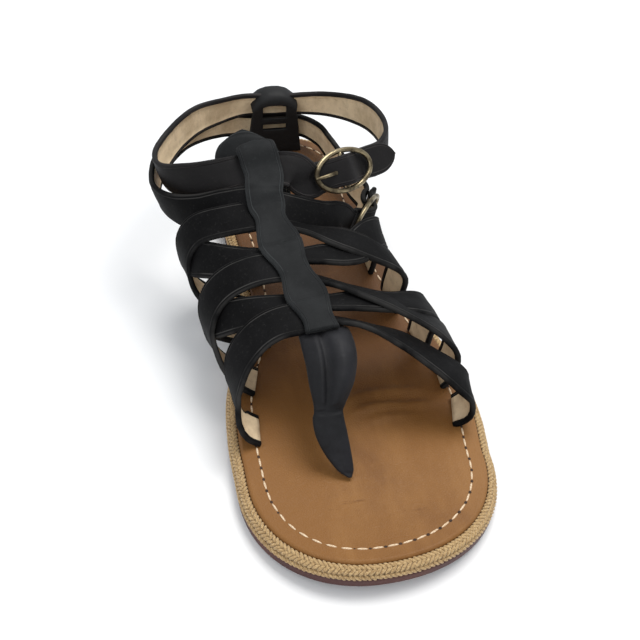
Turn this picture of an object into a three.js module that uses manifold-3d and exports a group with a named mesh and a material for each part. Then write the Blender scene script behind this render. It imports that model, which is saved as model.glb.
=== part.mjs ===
// Flat gladiator sandal, left foot. Millimetres, +Z up, toe towards -Y, heel towards +Y,
// outer (lateral) side towards +X. It stands on the floor plane Z = 0.
import * as THREE from 'three';
import * as BufferGeometryUtils from 'three/addons/utils/BufferGeometryUtils.js';
import Module from 'manifold-3d';

const wasm = await Module();
wasm.setup();

// ---- driving dimensions ----
const insoleLength = 252;
const ballWidth = 93;
const insoleThickness = 6;
const outsoleThickness = 3.4;
const heelHeight = 5;           // drop from the heel seat to the forefoot
const toeSpring = 3;
const instepHeight = 54;        // crest of the last at the ankle, above the insole
const weltWidth = 3.4;          // how far the rope stands out past the insole
const weltHeight = 5;
const strapWidth = 15;
const strapThickness = 2.2;
const layer = 1.8;              // rise from one strap to the strap lying over it
const bedding = 1.3;            // how deep the side straps lie in the last's surface
const gap = 0.35;               // clearance between separate pieces
const wireRadius = 1.1;         // of the buckle frames

const colours = {
  nubuck: { color: 0x17181a, roughness: 0.8, metalness: 0 },
  spine: { color: 0x24272b, roughness: 0.8, metalness: 0 },
  tan: { color: 0x9a6a3c, roughness: 0.5, metalness: 0 },
  jute: { color: 0xc9a86a, roughness: 0.9, metalness: 0 },
  oxblood: { color: 0x4a1e1c, roughness: 0.55, metalness: 0 },
  heel: { color: 0x3a2018, roughness: 0.6, metalness: 0 },
  brass: { color: 0x8a7c55, roughness: 0.35, metalness: 1 },
};

// ---- small helpers ----
const mix = (a, b, t) => a + (b - a) * t;
const clamp = (v, low, high) => Math.min(high, Math.max(low, v));
const radians = THREE.MathUtils.degToRad;
const ease = (t) => t * t * (3 - 2 * t);

// Smooth (Catmull-Rom) value of one column of a table at a given place in its key column.
function smooth(rows, key, column, at) {
  const last = rows.length - 1;
  if (at <= rows[0][key]) return rows[0][column];
  if (at >= rows[last][key]) return rows[last][column];
  const i = rows.findIndex((row, n) => n > 0 && at < row[key]) - 1;
  const a = rows[i];
  const b = rows[i + 1];
  const before = rows[Math.max(i - 1, 0)];
  const after = rows[Math.min(i + 2, last)];
  const span = b[key] - a[key];
  const t = (at - a[key]) / span;
  const slopeA = (b[column] - before[column]) / (b[key] - before[key]) * span;
  const slopeB = (after[column] - a[column]) / (after[key] - a[key]) * span;
  const t2 = t * t;
  const t3 = t2 * t;
  return a[column] * (2 * t3 - 3 * t2 + 1) + slopeA * (t3 - 2 * t2 + t)
    + b[column] * (3 * t2 - 2 * t3) + slopeB * (t3 - t2);
}

// Closed solid from rings of points; every ring has the same count, the ends are fanned shut.
function loft(rings, closedLoop = false) {
  const count = rings[0].length;
  const positions = [];
  rings.forEach((ring) => ring.forEach((p) => positions.push(p.x, p.y, p.z)));
  const index = [];
  const quad = (a, b, c, d) => index.push(a, b, c, a, c, d);
  const spans = closedLoop ? rings.length : rings.length - 1;
  for (let i = 0; i < spans; i += 1) {
    const here = i * count;
    const next = ((i + 1) % rings.length) * count;
    for (let j = 0; j < count; j += 1) {
      const k = (j + 1) % count;
      quad(here + j, here + k, next + k, next + j);
    }
  }
  if (!closedLoop) {
    const end = (rings.length - 1) * count;
    for (let j = 1; j < count - 1; j += 1) {
      index.push(0, j + 1, j);
      index.push(end, end + j, end + j + 1);
    }
  }
  const geometry = new THREE.BufferGeometry();
  geometry.setAttribute('position', new THREE.Float32BufferAttribute(positions, 3));
  geometry.setIndex(index);
  return facingOut(geometry);
}

// Turns the triangles round when the signed volume says that they face in.
function facingOut(geometry) {
  const position = geometry.getAttribute('position');
  const index = geometry.getIndex().array;
  const corner = [new THREE.Vector3(), new THREE.Vector3(), new THREE.Vector3()];
  let volume = 0;
  for (let i = 0; i < index.length; i += 3) {
    corner.forEach((v, n) => v.fromBufferAttribute(position, index[i + n]));
    volume += corner[0].dot(corner[1].clone().cross(corner[2]));
  }
  if (volume < 0) {
    for (let i = 0; i < index.length; i += 3) [index[i], index[i + 1]] = [index[i + 1], index[i]];
  }
  return geometry;
}

function toManifold(geometry) {
  const bare = geometry.clone();
  bare.deleteAttribute('normal');
  bare.deleteAttribute('uv');
  const merged = BufferGeometryUtils.mergeVertices(bare, 1e-4);
  return new wasm.Manifold(new wasm.Mesh({
    numProp: 3,
    vertProperties: new Float32Array(merged.getAttribute('position').array),
    triVerts: new Uint32Array(merged.getIndex().array),
  }));
}

function toGeometry(solid) {
  const mesh = solid.getMesh();
  const geometry = new THREE.BufferGeometry();
  geometry.setAttribute('position', new THREE.Float32BufferAttribute(mesh.vertProperties, 3));
  geometry.setIndex(Array.from(mesh.triVerts));
  return geometry;
}

// ---- the sole's outline and profile ----
const toeEnd = -insoleLength / 2;
const heelEnd = insoleLength / 2;
const toe = { axis: -4, from: -82, innerPower: 2.12, outerPower: 2.15 };
const heel = { axis: 0, from: 92, power: 2.1 };
// Half-breadths of the insole as shares of the ball width, along the foot.
const outline = [
  { y: -82, inner: -0.468, outer: 0.478 },
  { y: -60, inner: -0.47, outer: 0.503 },
  { y: -35, inner: -0.438, outer: 0.488 },
  { y: -5, inner: -0.325, outer: 0.415 },
  { y: 25, inner: -0.305, outer: 0.345 },
  { y: 60, inner: -0.325, outer: 0.31 },
  { y: 92, inner: -0.33, outer: 0.315 },
];

// Insole edge at one station: side -1 is the inner (big toe) edge, +1 the outer.
function soleEdge(y, side) {
  const column = side < 0 ? 'inner' : 'outer';
  const base = smooth(outline, 'y', column, y) * ballWidth;
  if (y < toe.from) {
    const power = side < 0 ? toe.innerPower : toe.outerPower;
    const reach = clamp((toe.from - y) / (toe.from - toeEnd), 0, 1);
    return toe.axis + (base - toe.axis) * (1 - reach ** power) ** (1 / power);
  }
  if (y > heel.from) {
    const reach = clamp((y - heel.from) / (heelEnd - heel.from), 0, 1);
    return heel.axis + (base - heel.axis) * (1 - reach ** heel.power) ** (1 / heel.power);
  }
  return base;
}

// Underside of the outsole: flat forefoot, a low rise through the waist to the heel seat.
const spring = { from: -92 };
const waist = { from: -30, to: 58 };
function soleBase(y) {
  if (y < spring.from) return toeSpring * ((spring.from - y) / (spring.from - toeEnd)) ** 2;
  return heelHeight * ease(clamp((y - waist.from) / (waist.to - waist.from), 0, 1));
}
const insoleBottom = (y) => soleBase(y) + outsoleThickness + gap;
const insoleTop = (y) => insoleBottom(y) + insoleThickness;

// The closed outline, offset outwards by a margin, as points with evenly turning corners.
function soleLoop(margin, steps) {
  const stations = [];
  for (let i = 0; i <= steps; i += 1) {
    stations.push(mix(toeEnd, heelEnd, (1 - Math.cos(Math.PI * i / steps)) / 2));
  }
  const points = stations.map((y) => new THREE.Vector2(soleEdge(y, 1), y));
  stations.slice(1, -1).reverse().forEach((y) => points.push(new THREE.Vector2(soleEdge(y, -1), y)));
  return points.map((p, i) => {
    const before = points[(i + points.length - 1) % points.length];
    const after = points[(i + 1) % points.length];
    const along = after.clone().sub(before).normalize();
    return new THREE.Vector2(p.x + along.y * margin, p.y - along.x * margin);
  });
}

// A slab under the whole outline between two height functions, or only behind one station.
const loopSteps = 30;
function slab(margin, low, high, from = -Infinity) {
  const loop = soleLoop(margin, loopSteps);
  const half = loopSteps;
  const rings = [];
  for (let i = 0; i <= half; i += 1) {
    const outer = loop[i];
    const inner = i === 0 || i === half ? loop[i] : loop[loop.length - i];
    const y = outer.y;
    if (y < from) continue;
    const nudge = i === 0 || i === half ? 0.6 : 0;
    const left = new THREE.Vector2(inner.x - nudge, inner.y);
    const right = new THREE.Vector2(outer.x + nudge, outer.y);
    rings.push([
      new THREE.Vector3(left.x, left.y, low(left.y)),
      new THREE.Vector3(right.x, right.y, low(right.y)),
      new THREE.Vector3(right.x, right.y, high(right.y)),
      new THREE.Vector3(left.x, left.y, high(left.y)),
    ]);
  }
  return loft(rings);
}

// ---- the last: sections from the ridge of the foot down each side to the insole ----
// ridge and the side columns are shares of ball width, rise and belly shares of instep height.
const lastRows = [
  { y: -92, ridge: -0.06, rise: 0.02, inner: -0.45, outer: 0.45, belly: 0.1 },
  { y: -72, ridge: -0.12, rise: 0.38, inner: -0.46, outer: 0.465, belly: 0.17 },
  { y: -50, ridge: -0.11, rise: 0.57, inner: -0.47, outer: 0.46, belly: 0.26 },
  { y: -25, ridge: -0.15, rise: 0.64, inner: -0.515, outer: 0.405, belly: 0.32 },
  { y: 5, ridge: -0.22, rise: 0.72, inner: -0.565, outer: 0.29, belly: 0.4 },
  { y: 32, ridge: -0.25, rise: 0.83, inner: -0.62, outer: 0.285, belly: 0.48 },
  { y: 50, ridge: -0.29, rise: 1.08, inner: -0.67, outer: 0.315, belly: 0.52 },
];
const edgeInset = 8;            // where a strap goes into the insole, inside its edge
const fullness = 0.92;          // under 1 squares the sections a little

function last(y, wrap, side) {
  const ridge = smooth(lastRows, 'y', 'ridge', y) * ballWidth;
  const belly = insoleTop(y) + smooth(lastRows, 'y', 'belly', y) * instepHeight;
  const top = insoleTop(y) + smooth(lastRows, 'y', 'rise', y) * instepHeight;
  const widest = smooth(lastRows, 'y', side < 0 ? 'inner' : 'outer', y) * ballWidth;
  const foot = soleEdge(y, side) - side * edgeInset;
  const floor = insoleTop(y) + gap;
  const angle = radians(wrap);
  if (wrap <= 90) {
    return new THREE.Vector3(
      ridge + (widest - ridge) * Math.sin(angle) ** fullness,
      y,
      belly + (top - belly) * Math.cos(angle) ** fullness,
    );
  }
  const down = (wrap - 90) / 90;
  return new THREE.Vector3(mix(widest, foot, down ** 2.6), y, mix(belly, floor, down));
}

function lastNormal(y, wrap, side) {
  const step = 1;
  const low = Math.max(wrap - step, 0.5);
  const around = last(y, low + 2 * step, side).sub(last(y, low, side));
  const along = last(y + step, low + step, side).sub(last(y - step, low + step, side));
  return around.cross(along).multiplyScalar(side < 0 ? -1 : 1).normalize();
}

// ---- straps as ribbons ----
// frames: {point, normal, width}; the ring is a flat strip with chamfered edges.
function ribbon(frames, thickness = strapThickness) {
  const rings = frames.map((frame, i) => {
    const before = frames[Math.max(i - 1, 0)].point;
    const after = frames[Math.min(i + 1, frames.length - 1)].point;
    const along = after.clone().sub(before).normalize();
    const face = frame.normal.clone().applyAxisAngle(along, radians(frame.turn ?? 0));
    const across = along.clone().cross(face).normalize();
    const up = across.clone().cross(along).normalize();
    const half = (frame.width ?? strapWidth) / 2;
    const t = (frame.thickness ?? thickness) / 2;
    const shape = [[half, 0], [half - t * 0.6, t], [-half + t * 0.6, t], [-half, 0],
      [-half + t * 0.6, -t], [half - t * 0.6, -t]];
    return shape.map(([w, h]) => frame.point.clone()
      .addScaledVector(across, w).addScaledVector(up, h));
  });
  return loft(rings);
}

// Even steps along a route given as rows of y, wrap and lift on one side of the last.
function routeFrames(rows, side, spacing = 6) {
  const keyed = rows.map(([y, wrap, lift, turn], at) => ({ at, y, wrap, lift, turn }));
  const sample = (at) => {
    const y = smooth(keyed, 'at', 'y', at);
    const wrap = clamp(smooth(keyed, 'at', 'wrap', at), 0, 178);
    const lift = smooth(keyed, 'at', 'lift', at);
    const normal = lastNormal(y, wrap, side);
    const point = last(y, wrap, side)
      .addScaledVector(normal, lift + strapThickness / 2 - bedding);
    return { point, normal, turn: side * smooth(keyed, 'at', 'turn', at) };
  };
  const fine = [];
  for (let i = 0; i <= 120; i += 1) fine.push(sample((rows.length - 1) * i / 120));
  const kept = [fine[0]];
  let run = 0;
  for (let i = 1; i < fine.length; i += 1) {
    run += fine[i].point.distanceTo(fine[i - 1].point);
    if (run >= spacing && i < fine.length - 3) {
      kept.push(fine[i]);
      run = 0;
    }
  }
  kept.push(fine[fine.length - 1]);
  return kept;
}

const over = layer;
// Each side strap: its side of the foot and its rows of y, wrap, lift and turn.
const sideStraps = [
  { name: 'first', side: -1, rows: [
    [-38, 0, over, 0], [-39, 28, over, 0], [-45, 60, 0.4 * over, 0], [-53, 90, 0, 0],
    [-60, 130, 0, 0], [-61, 176, 0, 0]] },
  { name: 'first', side: 1, rows: [
    [-38, 0, over, -20], [-42, 14, over, -45], [-49, 30, 0.6 * over, -34], [-57, 50, 0, -22],
    [-63, 80, 0, 0], [-64, 125, 0, 0], [-62, 176, 0, 0]] },
  { name: 'second', side: -1, rows: [
    [-33, 0, 0, 0], [-30, 26, 0, 0], [-25, 62, 0, 0], [-17, 95, 0, 0], [-12, 135, 0, 0],
    [-10, 176, 0, 0]] },
  { name: 'second', side: 1, rows: [
    [-34, 0, 0, 0], [-35, 16, 0, -20], [-31, 38, 0, -15], [-26, 75, 0, 0], [-22, 125, 0, 0],
    [-22, 176, 0, 0]] },
  { name: 'third', side: -1, rows: [
    [-12, 0, over, 0], [-12, 28, over, 0], [-15, 60, over, 0], [-23, 92, over, 0],
    [-32, 132, 0, 0], [-36, 176, 0, 0]] },
  { name: 'third', side: 1, rows: [
    [-15, 0, over, -20], [-22, 14, over, -42], [-30, 30, over, -28], [-38, 52, 0.6 * over, -15],
    [-43, 85, 0, 0], [-43, 128, 0, 0], [-42, 176, 0, 0]] },
  { name: 'fourth', side: -1, rows: [
    [-10, 0, 0, 0], [-6, 28, 0, 0], [4, 62, 0, 0], [16, 95, 0, 0], [24, 135, 0, 0],
    [26, 176, 0, 0]] },
  { name: 'fourth', side: 1, rows: [
    [-12, 0, 0, 0], [-12, 14, 0, -15], [-6, 32, 0, -10], [10, 65, 0, 0], [22, 120, 0, 0],
    [26, 176, 0, 0]] },
  { name: 'fifth', side: -1, rows: [
    [13, 0, over, 0], [14, 28, over, 0], [16, 60, over, 0], [12, 92, over, 0], [4, 132, 0, 0],
    [0, 176, 0, 0]] },
  { name: 'fifth', side: 1, rows: [
    [11, 0, over, -15], [6, 14, over, -32], [1, 30, over, -15], [-3, 55, 0.5 * over, -5],
    [-3, 95, 0, 0], [-1, 130, 0, 0], [2, 176, 0, 0]] },
];
const sideSolids = sideStraps.map((strap) => toManifold(ribbon(routeFrames(strap.rows, strap.side))));

// A frame on the ridge of the last, lying along its slope at a given lift above it.
function ridgeFrame(y, lift, width, thickness) {
  const slope = last(y + 1, 0, 1).sub(last(y - 1, 0, 1)).normalize();
  const normal = new THREE.Vector3(0, -slope.z, slope.y).normalize();
  return { point: last(y, 0, 1).addScaledVector(normal, lift), normal, width, thickness };
}

// The spine runs along the ridge over every strap: narrow where it holds a pair, wide between.
// Its top band passes over the ankle strap with clearance and lies down on the tongue.
const bandLift = strapThickness + 2 * gap + 1.05;
const spineRows = [
  { y: -46, width: 13, lift: 1.7 * layer },
  { y: -40, width: 12, lift: 1.45 * layer },
  { y: -28, width: 22, lift: 1.15 * layer },
  { y: -15, width: 12.5, lift: 1.45 * layer },
  { y: -2, width: 24, lift: 1.15 * layer },
  { y: 10, width: 12.5, lift: 1.45 * layer },
  { y: 16, width: 15, lift: 1.45 * layer },
  { y: 22, width: 15, lift: bandLift + 0.6 },
  { y: 27, width: 15.5, lift: bandLift + 0.2 },
  { y: 34, width: 16, lift: bandLift + 0.2 },
  { y: 40.8, width: 16.2, lift: bandLift + 0.45 },
  { y: 44.2, width: 16, lift: 0.9 },
  { y: 45.8, width: 15, lift: 0.2 },
];
const spineSteps = 34;
const spineFrames = [];
for (let i = 0; i <= spineSteps; i += 1) {
  const y = mix(spineRows[0].y, spineRows[spineRows.length - 1].y, i / spineSteps);
  const lift = smooth(spineRows, 'y', 'lift', y) + strapThickness / 2;
  spineFrames.push(ridgeFrame(y, lift, smooth(spineRows, 'y', 'width', y)));
}
const spine = toManifold(ribbon(spineFrames));

// The thong post: a gathered fold below the first keeper, a seam, then a flat post to its point.
const thongRows = [
  { y: -44, x: -9, z: 42, wide: 12, deep: 4 },
  { y: -50, x: -9, z: 42.5, wide: 13, deep: 6 },
  { y: -57, x: -9, z: 40, wide: 14, deep: 8 },
  { y: -65, x: -10, z: 35.5, wide: 12.5, deep: 8 },
  { y: -71, x: -11, z: 30, wide: 8, deep: 5 },
  { y: -76, x: -11, z: 24.5, wide: 9.5, deep: 3.6 },
  { y: -81, x: -10, z: 18.5, wide: 9, deep: 3 },
  { y: -86, x: -8.5, z: 12.5, wide: 5, deep: 2.6 },
  { y: -87.5, x: -8, z: 10.9, wide: 2, deep: 2 },
];
const thong = toManifold(ribbon(thongRows.map((row, i) => {
  const before = thongRows[Math.max(i - 1, 0)];
  const after = thongRows[Math.min(i + 1, thongRows.length - 1)];
  return {
    point: new THREE.Vector3(row.x, row.y, row.z),
    normal: new THREE.Vector3(0, before.z - after.z, after.y - before.y).multiplyScalar(-1).normalize(),
    width: row.wide,
    thickness: row.deep,
  };
})));

// Straps that leave the last: rows of centre points, with the lean of the strap's face from upright
// (a positive lean turns the upper edge in towards the leg).
function freeFrames(rows, count, centre) {
  const curve = new THREE.CatmullRomCurve3(
    rows.map((row) => new THREE.Vector3(row.x, row.y, row.z)), false, 'centripetal');
  const lean = new THREE.CatmullRomCurve3(
    rows.map((row) => new THREE.Vector3(row.lean, row.wide ?? strapWidth, 0)), false, 'centripetal');
  const frames = [];
  for (let i = 0; i <= count; i += 1) {
    const t = i / count;
    const point = curve.getPoint(t);
    const along = curve.getTangent(t);
    const out = new THREE.Vector3(along.y, -along.x, 0).normalize();
    if (out.dot(new THREE.Vector3(point.x - centre.x, point.y - centre.y, 0)) < 0) out.negate();
    const side = lean.getPoint(t);
    const tip = radians(side.x);
    frames.push({
      point,
      normal: out.multiplyScalar(Math.cos(tip)).add(new THREE.Vector3(0, 0, Math.sin(tip))),
      width: side.y,
    });
  }
  return frames;
}
const ankleCentre = { x: -8, y: 78 };

// ---- buckles: an oval frame with a centre bar; u runs along the strap to its tip, n points out ----
const buckleLength = 31;
const buckleHeight = 18.5;
function buckleAt(x, y, z, along, lean) {
  const a = new THREE.Vector3(...along).normalize();
  const flat = new THREE.Vector3(a.y, -a.x, 0).normalize();
  const out = flat.multiplyScalar(Math.cos(radians(lean)))
    .add(new THREE.Vector3(0, 0, Math.sin(radians(lean))));
  const across = out.clone().cross(a).normalize();
  const normal = a.clone().cross(across).normalize();
  const origin = new THREE.Vector3(x, y, z);
  return {
    lean,
    at: (u, n, w = 0) => origin.clone().addScaledVector(a, u).addScaledVector(normal, n)
      .addScaledVector(across, w),
    matrix: new THREE.Matrix4().makeBasis(a, across, normal).setPosition(origin),
  };
}
const ankleBuckle = buckleAt(13.5, 35, 56.8, [0.87, 0.48, -0.11], 36);
const lowerBuckle = buckleAt(26.5, 43, 26.5, [0.5, 0.83, -0.25], -14);
const clear = 0.8 * wireRadius + gap + strapThickness / 2 + 0.25;
// How a strap threads its buckle: under the front rim, over the bar, under the rear rim.
const under = -(wireRadius + gap + strapThickness / 2 + 0.5);
const threading = [
  { u: -17, n: under, wide: 14 }, { u: -11.4, n: under, wide: 10 }, { u: -5.6, n: 0.2, wide: 9.6 },
  { u: 0, n: clear, wide: 11 }, { u: 5.6, n: 0.2, wide: 9.6 }, { u: 11.4, n: under, wide: 10 },
  { u: 16, n: under, wide: 13 },
];
const threaded = (buckle) => threading.map(({ u, n, wide }) => ({
  ...buckle.at(u, n), lean: buckle.lean, wide,
}));
// The strap's other end is turned over the bar and runs back under the first.
const returning = (buckle) => [
  { u: 2.1, n: -2, wide: 10.5 }, { u: 5.4, n: -4.4, wide: 10.5 }, { u: 10, n: -5.9, wide: 11.5 },
  { u: 15, n: -6.3, wide: 13 },
].map(({ u, n, wide }) => ({ ...buckle.at(u, n), lean: buckle.lean, wide }));

function buckleFrame(buckle) {
  const rings = [];
  const steps = 28;
  for (let i = 0; i < steps; i += 1) {
    const angle = 2 * Math.PI * i / steps;
    const centre = new THREE.Vector2(
      (buckleLength / 2 - wireRadius) * Math.cos(angle),
      (buckleHeight / 2 - wireRadius) * Math.sin(angle));
    const outward = new THREE.Vector2(
      Math.cos(angle) / buckleLength, Math.sin(angle) / buckleHeight).normalize();
    const ring = [];
    for (let j = 0; j < 6; j += 1) {
      const turn = 2 * Math.PI * (j + 0.5) / 6;
      const r = wireRadius * Math.cos(turn);
      ring.push(new THREE.Vector3(
        centre.x + outward.x * r, centre.y + outward.y * r, wireRadius * Math.sin(turn)));
    }
    rings.push(ring);
  }
  const barLength = buckleHeight - 2 * wireRadius;
  const bar = new THREE.CylinderGeometry(wireRadius * 0.8, wireRadius * 0.8, barLength, 8);
  const solid = toManifold(loft(rings, true)).add(toManifold(bar));
  return toGeometry(solid).applyMatrix4(buckle.matrix);
}

// The prong starts in front of the bar, comes up through the strap and rests on the front rim.
const prongRows = [
  { u: -2.2, n: -0.6 }, { u: -6, n: 1.6 }, { u: -10, n: 2.6 }, { u: -15.4, n: 2.3 },
];
const prongWide = 1.8;
function prongShape(buckle, grow) {
  return ribbon(prongRows.map(({ u, n }, i) => ({
    point: buckle.at(u - (i === 0 ? -grow : 0), n),
    normal: buckle.at(0, 1).sub(buckle.at(0, 0)),
    width: prongWide + 2 * grow,
    thickness: 1.6 + 2 * grow,
  })));
}

const ankleRows = [
  ...returning(ankleBuckle),
  { x: 33, y: 54, z: 48.5, lean: 12 },
  { x: 38.5, y: 64, z: 48, lean: 4 },
  { x: 40, y: 78, z: 47, lean: 0 },
  { x: 36, y: 95, z: 45, lean: 0 },
  { x: 24.5, y: 110.5, z: 41, lean: 5, wide: 14 },
  { x: 11, y: 117.3, z: 38.8, lean: 10, wide: 13 },
  { x: -3, y: 118, z: 38.6, lean: 12, wide: 13 },
  { x: -17, y: 116.9, z: 40, lean: 9, wide: 13 },
  { x: -30, y: 108.5, z: 42.5, lean: 5, wide: 14 },
  { x: -43, y: 94, z: 47, lean: -3 },
  { x: -54, y: 76, z: 49, lean: -6 },
  { x: -61, y: 58, z: 50, lean: -15 },
  { x: -59, y: 46, z: 52, lean: -15 },
  { x: -51, y: 38, z: 55.5, lean: 10 },
  { x: -38, y: 34.5, z: 59, lean: 34, wide: 14 },
  { x: -31, y: 33.6, z: 60.8, lean: 54, wide: 14 },
  { x: -23.6, y: 33.3, z: 61.2, lean: 59, wide: 14 },
  { x: -16, y: 32.5, z: 61.8, lean: 55, wide: 14.5 },
  { x: -8, y: 30.5, z: 61.4, lean: 48 },
  ...threaded(ankleBuckle),
  { ...ankleBuckle.at(22, -3), lean: 34, wide: 13.5 },
  { ...ankleBuckle.at(27, -3.2), lean: 34, wide: 10 },
  { ...ankleBuckle.at(30.5, -3), lean: 34, wide: 3 },
];
const heelRows = [
  ...returning(lowerBuckle),
  { x: 24.5, y: 68, z: 27.5, lean: 0 },
  { x: 22, y: 83, z: 28, lean: 0 },
  { x: 20, y: 97, z: 27.2, lean: 0, wide: 13.5 },
  { x: 17.5, y: 110, z: 25.8, lean: 0, wide: 12.5 },
  { x: 10, y: 120, z: 25, lean: 0, wide: 12 },
  { x: -3, y: 121.5, z: 25.2, lean: 0, wide: 12 },
  { x: -16, y: 120.8, z: 26.8, lean: 0, wide: 12 },
  { x: -30, y: 113.5, z: 32, lean: 0, wide: 13 },
  { x: -46, y: 97, z: 39, lean: 0 },
  { x: -57, y: 78, z: 41.5, lean: -4 },
  { x: -63, y: 60, z: 41.5, lean: -9 },
  { x: -62.5, y: 47, z: 41.5, lean: -16 },
  { x: -56, y: 36, z: 43, lean: -4 },
  { x: -47.5, y: 28, z: 46.5, lean: 20 },
  { x: -37.5, y: 22.5, z: 52, lean: 42 },
  { x: -28, y: 18.5, z: 56.5, lean: 57 },
  { x: -20, y: 16, z: 57.5, lean: 66 },
];
const heelFrontRows = [
  { x: -20, y: 16, z: 57.5, lean: 66 },
  { x: -9, y: 16.5, z: 52.2, lean: 58, wide: 13.8 },
  { x: 2, y: 19.9, z: 45.3, lean: 42, wide: 13.5 },
  { x: 11, y: 25.8, z: 39.4, lean: 24, wide: 13.5 },
  ...threaded(lowerBuckle),
  { ...lowerBuckle.at(19.5, -3.4), lean: -14, wide: 8 },
  { ...lowerBuckle.at(21.5, -3.3), lean: -14, wide: 3 },
];
const prongHole = (solid, buckle) => solid.subtract(toManifold(prongShape(buckle, gap + 0.1)));
const ankleStrap = prongHole(
  toManifold(ribbon(freeFrames(ankleRows, 116, ankleCentre))), ankleBuckle);
const heelBack = toManifold(ribbon(freeFrames(heelRows, 84, ankleCentre)));
const heelFront = prongHole(
  toManifold(ribbon(freeFrames(heelFrontRows, 30, ankleCentre))), lowerBuckle);

let joined = spine.add(thong).add(heelBack).add(heelFront);
sideSolids.forEach((solid) => { joined = joined.add(solid); });
// The strap ends are trimmed just above the insole; pockets of air sealed between crossing
// straps are filled.
const trimmed = joined.subtract(toManifold(slab(20, () => 0, (y) => insoleTop(y) + gap)));
const upper = wasm.Manifold.compose(trimmed.decompose().filter((body) => body.volume() > 50));

// ---- heel tab: a folded stay; both straps pass between its two layers ----
const tab = {
  centre: -3, front: 112.6, back: 125.2, layer: 2, foot: 13, shoulder: 10.5, top: 47.5, slotFoot: 18,
};
const tabWindows = [{ low: 34.5, high: 42, wide: 9.5 }, { low: 28, high: 31, wide: 9.5 }];
function tabBox(half, y0, y1, z0, z1) {
  const box = new THREE.BoxGeometry(2 * half, y1 - y0, z1 - z0);
  return toManifold(box.translate(tab.centre, (y0 + y1) / 2, (z0 + z1) / 2));
}
const tabFoot = insoleTop(tab.back) + gap;
const tabBend = tab.top - tab.shoulder * 0.7;
const tabOutline = new THREE.Shape();
tabOutline.moveTo(-tab.foot, tabFoot);
tabOutline.lineTo(tab.foot, tabFoot);
tabOutline.lineTo(tab.shoulder, tabBend);
tabOutline.bezierCurveTo(tab.shoulder, tab.top - 2, tab.shoulder - 3, tab.top, 0, tab.top);
tabOutline.bezierCurveTo(3 - tab.shoulder, tab.top, -tab.shoulder, tab.top - 2,
  -tab.shoulder, tabBend);
const tabBlank = new THREE.ExtrudeGeometry(tabOutline, {
  depth: tab.back - tab.front, bevelEnabled: false, curveSegments: 6,
}).rotateX(Math.PI / 2).translate(tab.centre, tab.back, 0);
let heelTab = toManifold(tabBlank).subtract(
  tabBox(20, tab.front + tab.layer, tab.back - tab.layer, tab.slotFoot, tab.top - 1.5));
tabWindows.forEach(({ low, high, wide }) => {
  heelTab = heelTab.subtract(tabBox(wide / 2, tab.front - 1, tab.front + tab.layer + 1, low, high));
});

// ---- rope welt: a rounded band laid round the insole's edge ----
const weltLoop = soleLoop(gap + 0.05, loopSteps);
const weltOut = soleLoop(weltWidth, loopSteps);
const welt = loft(weltLoop.map((p, i) => {
  const q = weltOut[i];
  const profile = [[0, 0], [0.75, 0], [1, 0.25], [1, 0.65], [0.7, 1], [0, 1]];
  return profile.map(([out, up]) => {
    const y = mix(p.y, q.y, out);
    return new THREE.Vector3(mix(p.x, q.x, out), y, insoleBottom(y) + up * weltHeight);
  });
}), true);

// ---- tongue: a padded, round-topped pad under the ankle keeper ----
const tongueThickness = 3.4;
const tongueRows = [
  { y: 22, wide: 24, drop: 3 }, { y: 29, wide: 26.4, drop: 1.6 }, { y: 36, wide: 28, drop: 1.1 },
  { y: 41, wide: 28, drop: 0.9 }, { y: 45, wide: 25.4, drop: 0.7 }, { y: 47.5, wide: 19.4, drop: 0.7 },
  { y: 49, wide: 10, drop: 0.9 },
];

// Height of the last's upper surface above a point of the floor plan.
function lastHeight(y, x) {
  const ridge = smooth(lastRows, 'y', 'ridge', y) * ballWidth;
  const widest = smooth(lastRows, 'y', x < ridge ? 'inner' : 'outer', y) * ballWidth;
  const reach = clamp((x - ridge) / (widest - ridge), 0, 1) ** (1 / fullness);
  return last(y, Math.asin(reach) * 180 / Math.PI, x < ridge ? -1 : 1).z;
}
const tongueSteps = 6;
const tongue = loft(tongueRows.map(({ y, wide, drop }) => {
  const ridge = last(y, 0, 1).x;
  const ring = [];
  for (const face of [0, 1]) {
    for (let i = 0; i <= tongueSteps; i += 1) {
      const share = (face === 0 ? i : tongueSteps - i) / tongueSteps * 2 - 1;
      const x = ridge + share * wide / 2;
      const thickness = tongueThickness * (0.35 + 0.65 * Math.sqrt(1 - share ** 2));
      const sag = 3.3 * share ** 2 + drop;
      ring.push(new THREE.Vector3(x, y, lastHeight(y, x) - sag - face * thickness));
    }
  }
  return ring;
}));

// ---- heel lift under the heel seat ----
const liftFrom = 62;
const heelLift = slab(weltWidth - 0.6, () => 0, (y) => soleBase(y) - gap, liftFrom);

const group = new THREE.Group();
function addPiece(name, geometry, finish) {
  const mesh = new THREE.Mesh(geometry, new THREE.MeshStandardMaterial(colours[finish]));
  mesh.name = name;
  group.add(mesh);
}
addPiece('outsole', slab(weltWidth, soleBase, (y) => soleBase(y) + outsoleThickness), 'oxblood');
addPiece('heel_lift', heelLift, 'heel');
addPiece('insole', slab(0, insoleBottom, insoleTop), 'tan');
addPiece('jute_welt', welt, 'jute');
addPiece('upper', toGeometry(upper), 'nubuck');
addPiece('tongue', tongue, 'spine');
addPiece('ankle_strap', toGeometry(ankleStrap), 'nubuck');
addPiece('heel_tab', toGeometry(heelTab), 'nubuck');
addPiece('ankle_buckle', buckleFrame(ankleBuckle), 'brass');
addPiece('ankle_prong', prongShape(ankleBuckle, 0), 'brass');
addPiece('lower_buckle', buckleFrame(lowerBuckle), 'brass');
addPiece('lower_prong', prongShape(lowerBuckle, 0), 'brass');

// The origin is the centre of the whole shoe's box, on the floor.
const box = new THREE.Box3().setFromObject(group);
group.position.set(-(box.min.x + box.max.x) / 2, -(box.min.y + box.max.y) / 2, -box.min.z);

export default group;
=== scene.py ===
import math

import bpy
from mathutils import Matrix, Vector, noise


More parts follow.
